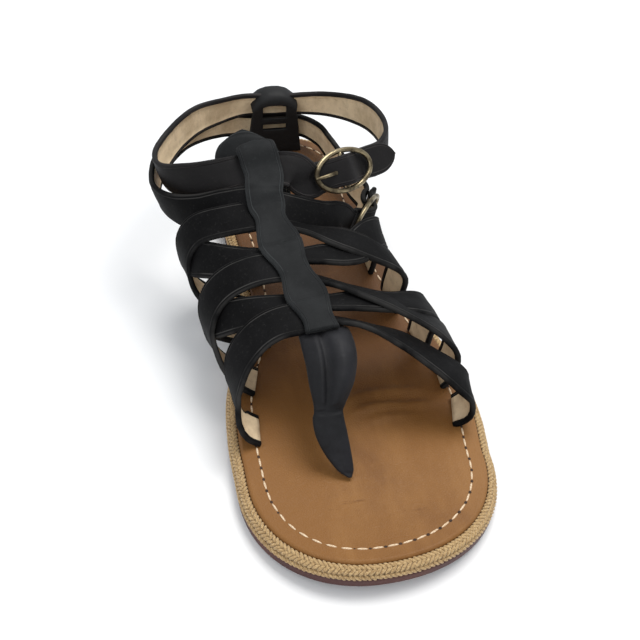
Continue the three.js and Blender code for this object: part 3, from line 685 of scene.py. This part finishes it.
def thongPiece():
    rows = [{**r, "n": n} for n, r in enumerate(thong["rows"])]
    path, places = zip(*curveThrough(rows, (len(rows) - 1) * thong["between"]))
    points, strip = [], []
    count = thong["around"]
    for i, (point, at) in enumerate(zip(path, places)):
        across = Vector((1, 0, 0))
        up = across.cross(heading(path, i)).normalized()
        up = -up if up.z < 0 else up
        half = smooth(rows, "n", "wide", at) / 2
        deep = smooth(rows, "n", "deep", at) / 2
        fold = smooth(rows, "n", "fold", at)
        for j in range(count):
            a = 2 * math.pi * j / count
            c, s = math.cos(a), math.sin(a)
            w = half * math.copysign(abs(c) ** 0.75, c)
            h = deep * math.copysign(abs(s) ** 0.8, s)
            if s > 0:
                h -= fold * 1.25 * bump(w, -0.22 * half, 0.09 * half + 0.3)
                h -= fold * 0.45 * bump(w, -0.8 * half, 0.4 * half)
                h += fold * 0.6 * bump(w, 0.4 * half, 0.42 * half + 0.3)
                h -= fold * 0.25 * bump(w, 0.12 * half, 0.06 * half + 0.2)
            h += 0.25 * noise.noise(Vector((at * 1.7, w * 0.3, 9)))
            points.append(point + across * w + up * h)
            strip.append((i * mm, 0.004))
    faces = ringFaces(len(path), count, points[0].x > points[count // 2].x)
    return meshPiece("thong", points, faces, [thongBlack], None, strip)


settle(thongPiece(), "strap_leather", "upper")
print("thong made")


# Buckles: frame, bar and prong; u runs along the strap to its tip, n points out
class Buckle:
    def __init__(self, x, y, z, along, lean):
        self.lean = lean
        self.origin = Vector((x, y, z))
        self.along = Vector(along).normalized()
        flat = Vector((self.along.y, -self.along.x, 0)).normalized()
        out = flat * math.cos(math.radians(lean)) + Vector((0, 0, math.sin(math.radians(lean))))
        self.across = out.cross(self.along).normalized()
        self.normal = self.along.cross(self.across).normalized()

    def at(self, u, n, w=0):
        return self.origin + self.along * u + self.normal * n + self.across * w

    def row(self, u, n, wide):
        p = self.at(u, n)
        return {"x": p.x, "y": p.y, "z": p.z, "lean": self.lean, "wide": wide}


buckle = {"length": 31, "height": 18.5, "wire": 1.1, "bar": 0.88, "prongWide": 0.85, "around": 72}
ankleBuckle = Buckle(13.5, 35, 56.8, (0.87, 0.48, -0.11), 36)
lowerBuckle = Buckle(26.5, 43, 26.5, (0.5, 0.83, -0.25), -14)
under = -(buckle["wire"] + sole["gap"] + strap["thickness"] / 2 + 0.5)
overBar = buckle["bar"] + sole["gap"] + strap["thickness"] / 2 + 0.25


def threaded(b):
    return [b.row(u, n, wide) for u, n, wide in (
        (-17, under, 14.6), (-11.4, under, 13.4), (-5.6, 0, 12.4), (0, overBar, 12.8), (5.6, 0, 12.4),
        (11.4, under, 13), (16, under, 13.6))]


def returning(b):
    return [b.row(u, n, wide) for u, n, wide in (
        (2.1, -2, 10.5), (5.4, -4.4, 10.5), (10, -5.9, 11.5), (15, -6.3, 13))]


def tube(name, path, radii, material, normal, closed=False, around=12, squash=1.0):
    points = []
    for i, p in enumerate(path):
        along = heading(path, i, closed)
        side = along.cross(normal).normalized()
        up = side.cross(along).normalized()
        for j in range(around):
            a = 2 * math.pi * j / around
            points.append(p + (side * math.cos(a) + up * math.sin(a) * squash) * radii[i])
    return meshPiece(name, points, ringFaces(len(path), around, True, closed), [material])


def buckleParts(name, b, frameNode, prongNode):
    long, tall = buckle["length"] / 2 - buckle["wire"], buckle["height"] / 2 - buckle["wire"]
    ring = []
    around = buckle["around"]
    for n in range(around):
        a = 2 * math.pi * n / around
        ring.append(b.at(long * math.cos(a), 0.0, tall * math.sin(a)))
    hoop = tube(name + "Frame", ring, [buckle["wire"]] * around, brass, b.normal, True, 14, 0.92)
    barPath = [b.at(0, 0, mix(-tall, tall, n / 8)) for n in range(9)]
    bar = tube(name + "Bar", barPath, [buckle["bar"]] * 9, brass, b.normal)
    settle(joinPieces(name + "Frame", [hoop, bar]), "antique_brass", frameNode)
    rows = [b.row(u, n, 0) for u, n in (
        (-0.9, -0.4), (-3, 0.4), (-6, 1.7), (-10, 2.6), (-14.4, 2.1), (-16.2, 1.5))]
    samples = 30
    path = [p for p, _ in curveThrough(rows, samples)]
    radii = [buckle["prongWide"] * (1 - 0.45 * (n / samples) ** 3) for n in range(samples + 1)]
    settle(tube(name + "Prong", path, radii, brass, b.normal, squash=0.8), "antique_brass", prongNode)


buckleParts("ankleBuckle", ankleBuckle, "ankle_buckle", "ankle_prong")
buckleParts("lowerBuckle", lowerBuckle, "lower_buckle", "lower_prong")
print("buckles made")


# Ankle strap and heel strap
def row(x, y, z, lean, wide=None):
    return {"x": x, "y": y, "z": z, "lean": lean, "wide": wide or strap["width"]}


ankleCentre = Vector((-8, 78, 0))
ankleRows = returning(ankleBuckle) + [
    row(33, 54, 48.5, 12), row(38.5, 64, 48, 4), row(40, 78, 47, 0), row(36, 95, 45, 0),
    row(24.5, 110.5, 41, 5, 14), row(11, 117.3, 38.8, 10, 13), row(-3, 118, 38.6, 12, 13),
    row(-17, 116.9, 40, 9, 13), row(-30, 108.5, 42.5, 5, 14), row(-43, 94, 47, -3),
    row(-54, 76, 49, -6), row(-61, 58, 50, -15), row(-59, 46, 52, -15), row(-51, 38, 55.5, 10),
    row(-38, 34.5, 59, 34, 14), row(-31, 33.6, 60.8, 54, 14), row(-23.6, 33.3, 61.2, 59, 14),
    row(-16, 32.5, 61.8, 55, 14.5), row(-8, 30.5, 61.4, 48),
] + threaded(ankleBuckle) + [
    ankleBuckle.row(22, -3, 13.5), ankleBuckle.row(27, -3.2, 13), ankleBuckle.row(31, -3, 12)]
heelRows = returning(lowerBuckle) + [
    row(24.5, 68, 27.5, 0), row(22, 83, 28, 0), row(20, 97, 27.2, 0, 13.5),
    row(17.5, 110, 25.8, 0, 12.5), row(10, 120, 25, 0, 12), row(-3, 121.5, 25.2, 0, 12),
    row(-16, 120.8, 26.8, 0, 12),
    row(-30, 113.5, 32, 0, 13), row(-46, 97, 39, 0), row(-57, 78, 41.5, -4), row(-63, 60, 41.5, -9),
    row(-62.5, 47, 41.5, -16), row(-56, 36, 43, -4), row(-47.5, 28, 46.5, 20), row(-37.5, 22.5, 52, 42),
    row(-28, 18.5, 55.8, 57), row(-21, 16.2, 55.9, 66)]
heelFrontRows = [
    row(-21, 16.2, 55.9, 66), row(-9, 16.6, 51.4, 58, 13.8), row(2, 19.9, 45.3, 42, 13.5),
    row(11, 25.8, 39.4, 24, 13.5),
] + threaded(lowerBuckle) + [lowerBuckle.row(19.5, -3.4, 12), lowerBuckle.row(21.8, -3.3, 11)]


def freeFrames(rows, samples=400, step=0.8):
    numbered = [{**r, "n": n} for n, r in enumerate(rows)]
    path, places = zip(*curveThrough(rows, samples))
    frames = []
    for i, (point, at) in enumerate(zip(path, places)):
        along = heading(path, i)
        out = Vector((along.y, -along.x, 0)).normalized()
        if out.dot(Vector((point.x - ankleCentre.x, point.y - ankleCentre.y, 0))) < 0:
            out = -out
        lean = math.radians(smooth(numbered, "n", "lean", at))
        frames.append({"point": point, "width": smooth(numbered, "n", "wide", at),
                       "normal": out * math.cos(lean) + Vector((0, 0, math.sin(lean)))})
    return evenly(frames, step)


def ankleRidges(at, w, left):
    # Long creases pressed into the strap between the keeper and the buckle
    zone = ease((left - 52) / 8) * ease((84 - left) / 8)
    return 0.28 * zone * math.cos(w * 1.75 + 0.4)


settle(strapMesh("ankleStrap", freeFrames(ankleRows), ankleBlack, seed=80, tip=11, ridges=ankleRidges),
       "strap_leather", "ankle_strap")
settle(strapMesh("heelStrap", freeFrames(heelRows, step=strap["step"]), black, seed=90),
       "strap_leather", "upper")
settle(strapMesh("heelStrapFront", freeFrames(heelFrontRows, 200), black, seed=95, tip=8),
       "strap_leather", "upper")
print("ankle and heel straps made")

# Tongue: a padded, round-topped pad with a pressed line inside its rim
tongue = {"thickness": 3.4, "across": 30, "sag": 3.3, "rows": [
    {"y": 22, "wide": 24, "drop": 3}, {"y": 29, "wide": 26.4, "drop": 1.6},
    {"y": 36, "wide": 28, "drop": 1.1}, {"y": 41, "wide": 28, "drop": 0.9},
    {"y": 44, "wide": 26.4, "drop": 0.8}, {"y": 46, "wide": 23.6, "drop": 0.7},
    {"y": 47.8, "wide": 18.4, "drop": 0.8}, {"y": 49, "wide": 10.5, "drop": 1},
    {"y": 49.5, "wide": 3, "drop": 1.4}]}


def tonguePiece():
    rows = tongue["rows"]
    stations = [mix(rows[0]["y"], rows[-1]["y"], math.sin(math.pi / 2 * n / 36)) for n in range(37)]
    points, strip = [], []
    columns = tongue["across"]
    for y in stations:
        wide, drop = smooth(rows, "y", "wide", y), smooth(rows, "y", "drop", y)
        ridge = lastPoint(y, 0, 1).x
        for face in (0, 1):
            for i in range(columns + 1):
                share = (i if face == 0 else columns - i) / columns * 2 - 1
                share = math.sin(share * math.pi / 2)
                x = ridge + share * wide / 2
                rim = min((1 - abs(share)) * wide / 2, (rows[-1]["y"] - y) * 1.2)
                puff = 0.75 * ease(rim / 5) - 0.5 * bump(rim, 2.6, 0.7)
                z = lastHeight(y, x) - tongue["sag"] * share ** 2 - drop
                if face == 0:
                    z += puff - 0.5
                else:
                    z -= tongue["thickness"] * (0.3 + 0.7 * math.sqrt(max(1 - share ** 2, 0)))
                points.append(Vector((x, y, z)))
                strip.append((y * mm, max(rim, 0) * mm))
    faces = ringFaces(len(stations), 2 * (columns + 1))
    return meshPiece("tonguePad", points, faces, [spineBlack], None, strip)


tongueMade = tonguePiece()
settle(tongueMade, "tongue_leather", "tongue")
print("tongue made")

# Heel tab: one folded stay with two windows in its inner layer
tab = {"centre": -3, "front": 112.6, "back": 125.2, "layer": 2, "foot": 13, "shoulder": 10.5,
       "shoulderAt": 40, "top": 47.5, "windowHalf": 5.6, "arch": 5.5, "windows": [(34.3, 41), (28, 31)],
       "round": 0.6}


def tabHalf(z):
    foot = insoleTop(tab["back"]) + sole["gap"]
    return mix(tab["foot"], tab["shoulder"], clamp((z - foot) / (tab["shoulderAt"] - foot), 0, 1))


def heelTabPiece():
    low = insoleTop(tab["back"]) + sole["gap"]
    middle = (tab["front"] + tab["back"]) / 2
    reach = (tab["back"] - tab["front"]) / 2 - tab["layer"] / 2
    heights = sorted({low, 18, 22, 25, 37, 39.5} | {z for window in tab["windows"] for z in window})
    bendStart = tab["top"] - tab["layer"] / 2 - 5
    rows = [(middle - reach, z) for z in heights if z < bendStart]
    for n in range(0, 13):
        a = math.pi * n / 12
        rows.append((middle - reach * math.copysign(abs(math.cos(a)) ** 0.7, math.cos(a)),
                     bendStart + 4.2 * math.sin(a) ** 0.75))
    rows += [(middle + reach, z) for z in reversed(heights) if z < bendStart]
    points, faces = [], []
    for y, z in rows:
        half = tabHalf(z)
        crown = ease((z - 32) / (tab["top"] - 33.5))
        outward = (0.5 * tab["windowHalf"], tab["windowHalf"], tab["windowHalf"] + 1, 0.9 * half, half)
        across = [-x for x in reversed(outward)] + [0, *outward]
        for x in across:
            points.append(Vector((tab["centre"] + x, y, z - tab["arch"] * crown * (abs(x) / half) ** 2.6)))
    count = len(across)
    for i in range(len(rows) - 1):
        y = (rows[i][0] + rows[i + 1][0]) / 2
        z = (rows[i][1] + rows[i + 1][1]) / 2
        for j in range(count - 1):
            if y < middle and 3 <= j <= 6 and any(a < z < b for a, b in tab["windows"]):
                continue
            a = i * count + j
            faces.append((a, a + 1, a + count + 1, a + count))
    piece = meshPiece("heelTab", points, faces, [tabBlack])
    solid = piece.modifiers.new("wall", "SOLIDIFY")
    solid.thickness = tab["layer"] * mm
    solid.offset = 0
    soften = piece.modifiers.new("soften", "BEVEL")
    soften.width = tab["round"] * mm
    soften.segments = 3
    soften.limit_method = "ANGLE"
    soften.angle_limit = math.radians(50)
    return bake(piece)


settle(heelTabPiece(), "strap_leather", "heel_tab")
print("heel tab made")

# Sole: insole with its wrinkles, outsole and heel lift
wrinkles = [  # soft folds of the insole behind the toes, on the outer half
    {"y": -49, "slope": 0.10, "width": 2.3, "height": 1.25, "start": -6, "end": 34},
    {"y": -56, "slope": 0.06, "width": 1.9, "height": 1.4, "start": -2, "end": 38},
    {"y": -62, "slope": 0.14, "width": 1.6, "height": 0.85, "start": 2, "end": 30}]


def wrinkleHeight(x, y):
    total = 0
    for w in wrinkles:
        mask = ease((x - w["start"]) / 10) * ease((w["end"] - x) / 12)
        crest = w["y"] + w["slope"] * (x - 10) + 1.2 * math.sin(x * 0.16)
        total += w["height"] * mask * bump(y, crest, w["width"])
    return total


def layerPiece(name, margin, low, high, material, edge, start=None, relief=None, columns=64, rows=180):
    # A flat layer of the sole between two heights, with rounded edges
    stations = []
    for n in range(rows + 1):
        share = n / rows if start is not None else (1 - math.cos(math.pi * n / rows)) / 2
        stations.append(mix(toeEnd if start is None else start, heelEnd, share))
    points, faces, index = [], [], {}

    def outward(y, side):
        h = 0.15
        a = clamp(y, toeEnd + 0.02, heelEnd - 0.02)
        slope = (soleEdge(min(a + h, heelEnd), side) - soleEdge(max(a - h, toeEnd), side)) / (
            min(a + h, heelEnd) - max(a - h, toeEnd))
        return Vector((side, -slope * side)).normalized()

    def rimPoint(y, side):
        q = Vector((soleEdge(y, side), y)) + outward(y, side) * (margin - edge)
        if start is not None:
            q.y = max(q.y, start)
        return q

    for i, y in enumerate(stations):
        left, right = rimPoint(y, -1), rimPoint(y, 1)
        for j in range(columns + 1):
            p = left.lerp(right, (1 - math.cos(math.pi * j / columns)) / 2)
            for face in (0, 1):
                z = high(p.y) + (relief(p.x, p.y) if relief else 0) if face else low(p.y)
                index[(i, j, face)] = len(points)
                points.append(Vector((p.x, p.y, z)))
    for i in range(rows):
        for j in range(columns):
            for face in (0, 1):
                quad = [index[(i, j, face)], index[(i, j + 1, face)], index[(i + 1, j + 1, face)],
                        index[(i + 1, j, face)]]
                faces.append(tuple(quad if face else reversed(quad)))
    border = ([(0, j) for j in range(columns)] + [(i, columns) for i in range(rows)]
              + [(rows, j) for j in range(columns, 0, -1)] + [(i, 0) for i in range(rows, 0, -1)])
    roundSteps = 4
    loops = []
    for i, j in border:
        inner = points[index[(i, j, 1)]]
        if 0 < j < columns:
            out = Vector((0, -1 if i == 0 else 1))
        else:
            out = outward(stations[i], -1 if j == 0 else 1)
        turns = [math.pi / 2 * n / roundSteps for n in range(1, roundSteps + 1)]
        column = [(a, inner.z - edge * (1 - math.cos(a))) for a in turns]
        column += [(a, low(inner.y) + edge * (1 - math.cos(a))) for a in reversed(turns)]
        ids = [index[(i, j, 1)]]
        for a, z in column:
            ids.append(len(points))
            reach = out * edge * math.sin(a)
            points.append(Vector((inner.x + reach.x, inner.y + reach.y, z)))
        ids.append(index[(i, j, 0)])
        loops.append(ids)
    for a, b in zip(loops, loops[1:] + loops[:1]):
        for n in range(len(a) - 1):
            faces.append((a[n], a[n + 1], b[n + 1], b[n]))
    return meshPiece(name, points, faces, [material])


layers = {"insoleRound": 1.3, "outsoleRound": 0.7, "liftRound": 0.5, "liftStart": 62.5,
          "liftInset": 0.6, "liftClear": 0.3}
insole = layerPiece("insoleBoard", 0, insoleBottom, insoleTop, tan, layers["insoleRound"],
                    relief=wrinkleHeight, columns=90, rows=240)
settle(insole, "insole_leather", "insole")
outsole = layerPiece("outsoleLayer", sole["ropeWidth"], soleBase,
                     lambda y: soleBase(y) + sole["outsoleThickness"], oxblood,
                     layers["outsoleRound"], columns=24)
settle(outsole, "outsole_leather", "outsole")
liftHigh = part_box("heel_lift")[1].z / mm
heelLift = layerPiece("heelLift", sole["ropeWidth"] - layers["liftInset"], lambda y: 0,
                      lambda y: min(liftHigh, soleBase(y) - layers["liftClear"]), heelDark,
                      layers["liftRound"], start=layers["liftStart"], columns=24, rows=90)
settle(heelLift, "heel_rubber", "heel_lift")
print("sole layers made")


# Loops round the sole, for the stitches and the rope
def soleLoop(margin, step):
    # Closed loop round the insole at a margin out from its edge: points and outward directions
    raw = []
    count = 400
    for side in (1, -1):
        ys = [mix(toeEnd, heelEnd, (1 - math.cos(math.pi * n / count)) / 2) for n in range(count + 1)]
        ys = ys if side > 0 else ys[-2:0:-1]
        raw += [Vector((soleEdge(y, side), y, 0)) for y in ys]
    out = []
    for i, p in enumerate(raw):
        along = (raw[(i + 1) % len(raw)] - raw[i - 1]).normalized()
        out.append(Vector((along.y, -along.x, 0)))
    moved = [p + o * margin for p, o in zip(raw, out)]
    lengths = [0.0]
    for a, b in zip(moved, moved[1:] + moved[:1]):
        lengths.append(lengths[-1] + (b - a).length)
    total = lengths[-1]
    number = round(total / step)
    result = []
    i = 0
    for n in range(number):
        want = total * n / number
        while lengths[i + 1] < want:
            i += 1
        t = (want - lengths[i]) / (lengths[i + 1] - lengths[i])
        j = (i + 1) % len(moved)
        result.append((moved[i].lerp(moved[j], t), out[i].lerp(out[j], t).normalized()))
    return result


def hostLoop(name, points, facing):
    # A closed chain of edges that carries the outward direction, for a node tree to follow
    mesh = bpy.data.meshes.new(name)
    count = len(points)
    mesh.from_pydata([placed(p) for p in points], [(n, (n + 1) % count) for n in range(count)], [])
    layer = mesh.attributes.new("facing", "FLOAT_VECTOR", "POINT")
    layer.data.foreach_set("vector", [c for v in facing for c in v])
    host = bpy.data.objects.new(name, mesh)
    bpy.context.scene.collection.objects.link(host)
    return host


def followTree(name):
    # Small rounded pieces laid along a loop, tilted, with a little variation
    tree = bpy.data.node_groups.new(name, "GeometryNodeTree")
    face = tree.interface
    face.new_socket("Geometry", in_out="INPUT", socket_type="NodeSocketGeometry")
    for label, start in (("Pitch", 0.005), ("Length", 0.004), ("Width", 0.001), ("Thickness", 0.0005),
                         ("Tilt", 0.0), ("Wander", 0.0), ("Shift", 0.0)):
        face.new_socket(label, in_out="INPUT", socket_type="NodeSocketFloat").default_value = start
    face.new_socket("Material", in_out="INPUT", socket_type="NodeSocketMaterial")
    face.new_socket("Geometry", in_out="OUTPUT", socket_type="NodeSocketGeometry")
    entry = tree.nodes.new("NodeGroupInput").outputs

    def add(kind, values, settings=None, out=0):
        node = tree.nodes.new(kind)
        for key, value in (settings or {}).items():
            setattr(node, key, value)
        for key, value in values.items():
            if isinstance(value, bpy.types.NodeSocket):
                tree.links.new(value, node.inputs[key])
            else:
                node.inputs[key].default_value = value
        return node.outputs[out]

    curve = add("GeometryNodeMeshToCurve", {0: entry["Geometry"]})
    spots = add("GeometryNodeResampleCurve", {"Curve": curve, "Length": entry["Pitch"]}, {"mode": "LENGTH"})
    ball = add("GeometryNodeMeshUVSphere", {"Segments": 8, "Rings": 6, "Radius": 0.5})
    size = add("ShaderNodeCombineXYZ", {0: entry["Length"], 1: entry["Width"], 2: entry["Thickness"]})
    grain = add("GeometryNodeTransform", {"Geometry": ball, "Scale": size})
    facing = add("GeometryNodeInputNamedAttribute", {"Name": "facing"}, {"data_type": "FLOAT_VECTOR"})
    upright = add("FunctionNodeAlignRotationToVector", {"Vector": facing}, {"axis": "Z"})
    aimed = add("FunctionNodeAlignRotationToVector",
                {"Rotation": upright, "Vector": add("GeometryNodeInputTangent", {})},
                {"axis": "X", "pivot_axis": "Z"})
    least = add("ShaderNodeMath", {0: entry["Wander"], 1: -1}, {"operation": "MULTIPLY"})
    chance = add("FunctionNodeRandomValue", {2: least, 3: entry["Wander"], "Seed": 11},
                 {"data_type": "FLOAT"}, 1)
    turn = add("ShaderNodeMath", {0: entry["Tilt"], 1: chance})
    spin = add("ShaderNodeCombineXYZ", {2: turn})
    turned = add("FunctionNodeRotateRotation", {0: aimed, 1: spin}, {"rotation_space": "LOCAL"})
    laid = add("GeometryNodeInstanceOnPoints", {"Points": spots, "Instance": grain, "Rotation": turned})
    slide = add("GeometryNodeTranslateInstances", {
        "Instances": laid, "Translation": add("ShaderNodeCombineXYZ", {0: entry["Shift"]}),
        "Local Space": True})
    real = add("GeometryNodeRealizeInstances", {0: slide})
    soft = add("GeometryNodeSetShadeSmooth", {0: real})
    paint = add("GeometryNodeSetMaterial", {0: soft, "Material": entry["Material"]})
    tree.links.new(paint, tree.nodes.new("NodeGroupOutput").inputs[0])
    return tree


def runAlong(name, tree, points, facing, material, **sizes):
    host = hostLoop(name, points, facing)
    modifier = host.modifiers.new("follow", "NODES")
    modifier.node_group = tree
    sockets = {item.name: item.identifier for item in tree.interface.items_tree if item.in_out == "INPUT"}
    for key, value in sizes.items():
        modifier[sockets[key]] = value
    modifier[sockets["Material"]] = material
    return bake(host)


follow = followTree("piecesAlongLoop")
stitch = {"inset": 6, "pitch": 5.3, "length": 4.1, "width": 0.8, "thickness": 0.7,
          "holeLength": 1.3, "holeWidth": 1.1, "holeThickness": 0.2}
loop = soleLoop(-stitch["inset"], 2.0)
onTop = [Vector((p.x, p.y, insoleTop(p.y) + wrinkleHeight(p.x, p.y) + 0.05)) for p, _ in loop]
upwards = [Vector((0, 0, 1))] * len(loop)
stitches = runAlong("insoleStitches", follow, onTop, upwards, thread, Pitch=stitch["pitch"] * mm,
                    Length=stitch["length"] * mm, Width=stitch["width"] * mm,
                    Thickness=stitch["thickness"] * mm, Wander=0.06)
# Dark ovals between the stitches: painted shade in the recessed stitch holes
holes = runAlong("stitchHoles", follow, [p - Vector((0, 0, 0.03)) for p in onTop], upwards, stitchHoleShade,
                 Pitch=stitch["pitch"] * mm, Length=stitch["holeLength"] * mm,
                 Width=stitch["holeWidth"] * mm, Thickness=stitch["holeThickness"] * mm,
                 Shift=stitch["pitch"] / 2 * mm)
settle(stitches, "insole_leather")
settle(holes, "insole_leather")
print("stitches made")

rope = {"pitch": 1.75, "strandLength": 3.5, "strandWidth": 1.35, "strandThickness": 1.25, "tilt": 38,
        "rows": [(80, -1), (47, 1), (12, -1)], "reachOut": 2.7, "reachUp": 4.1, "step": 1.4}


def ropeRow(angle):
    a = math.radians(angle)
    loopHere = soleLoop(sole["gap"] + 0.3 + rope["reachOut"] * math.cos(a), rope["step"])
    points = [Vector((p.x, p.y, insoleBottom(p.y) + 0.35 + rope["reachUp"] * math.sin(a)))
              for p, _ in loopHere]
    facing = [(o * math.cos(a) + Vector((0, 0, math.sin(a)))).normalized() for _, o in loopHere]
    return points, facing


strands = []
for angle, hand in rope["rows"]:
    points, facing = ropeRow(angle)
    strands.append(runAlong("ropeRow%d" % angle, follow, points, facing, juteLight,
                            Pitch=rope["pitch"] * mm, Length=rope["strandLength"] * mm,
                            Width=rope["strandWidth"] * mm, Thickness=rope["strandThickness"] * mm,
                            Tilt=math.radians(rope["tilt"] * hand), Wander=0.14))
braid = joinPieces("juteBraid", strands)


def ropeCore():
    # The plain core that shows between the strands, darker than the strands: painted shade in the gaps
    # between them
    points = []
    base = soleLoop(sole["gap"] + 0.1, rope["step"])
    reach = rope["reachOut"]
    section = [(0, 0.1), (reach * 0.9, 0.1), (reach, 1.2), (reach * 0.9, 2.8), (reach * 0.55, 4.0),
               (0, 4.5)]
    for p, o in base:
        for out, up in section:
            q = p + o * out
            points.append(Vector((q.x, q.y, insoleBottom(q.y) + up)))
    return meshPiece("juteCore", points, ringFaces(len(base), len(section), closed=True), [juteGapShade])


settle(braid, "jute_rope", "jute_welt")
settle(ropeCore(), "jute_rope", "jute_welt")
print("rope welt made")

# Floor, light and camera
floorMaker = Maker("paleFloor", (0.9, 0.9, 0.9))
haze = floorMaker.noise(3, 2, 0.5)
pale = floorMaker.blendColours(haze.step(0.3, 0.7), (0.83, 0.835, 0.84), (0.85, 0.85, 0.85))
floorMaker.finish(pale, 0.6)
studio = {"floorSize": 8, "skyColour": (0.93, 0.96, 1.0, 1), "skyStrength": 0.7}
bpy.ops.mesh.primitive_plane_add(size=studio["floorSize"], location=(0, 0, -0.0001))
floor = bpy.context.object
floor.name = "floor"
floor.data.materials.append(floorMaker.material)

bpy.context.scene.view_settings.view_transform = "Standard"
world = bpy.data.worlds.new("studio")
bpy.context.scene.world = world
world.use_nodes = True
background = world.node_tree.nodes["Background"]
background.inputs["Color"].default_value = studio["skyColour"]
background.inputs["Strength"].default_value = studio["skyStrength"]


def softBox(name, place, target, size, power, colour=(1, 1, 1)):
    light = bpy.data.lights.new(name, "AREA")
    light.shape = "RECTANGLE"
    light.size, light.size_y = size
    light.energy = power
    light.color = colour
    lamp = bpy.data.objects.new(name, light)
    bpy.context.scene.collection.objects.link(lamp)
    lamp.location = place
    lamp.rotation_euler = (Vector(target) - Vector(place)).to_track_quat("-Z", "Y").to_euler()


softBox("ceiling", (0.4, 0.3, 1.3), (0, 0, 0), (0.9, 0.7), 15, (1, 0.99, 0.97))
softBox("frontFill", (-0.5, -1.1, 0.9), (0, 0, 0.02), (0.9, 0.6), 5, (0.96, 0.98, 1))

view = {"place": (-76.0, -332.1, 318.4), "pitch": 43.58, "roll": -7.73, "heading": (-0.049, 0.999),
        "aim": (-3, -8, 14), "lens": 62}
forwardFlat = Vector((*view["heading"], 0)).normalized()
pitch = math.radians(view["pitch"])
facingDown = forwardFlat * math.cos(pitch) - Vector((0, 0, math.sin(pitch)))
level = facingDown.cross(Vector((0, 0, 1))).normalized()
upright = level.cross(facingDown).normalized()
roll = math.radians(view["roll"])
rolledUp = upright * math.cos(roll) - level * math.sin(roll)
at = placed(view["place"])
look = (placed(view["aim"]) - at).normalized()
right = look.cross(rolledUp).normalized()
up = right.cross(look).normalized()
cameraData = bpy.data.cameras.new("camera")
cameraData.sensor_width = 36
cameraData.lens = view["lens"]
cameraData.clip_start = 0.01
camera = bpy.data.objects.new("camera", cameraData)
bpy.context.scene.collection.objects.link(camera)
camera.matrix_world = Matrix((
    (right.x, up.x, -look.x, at.x), (right.y, up.y, -look.y, at.y),
    (right.z, up.z, -look.z, at.z), (0, 0, 0, 1)))
bpy.context.scene.camera = camera
print("camera set")
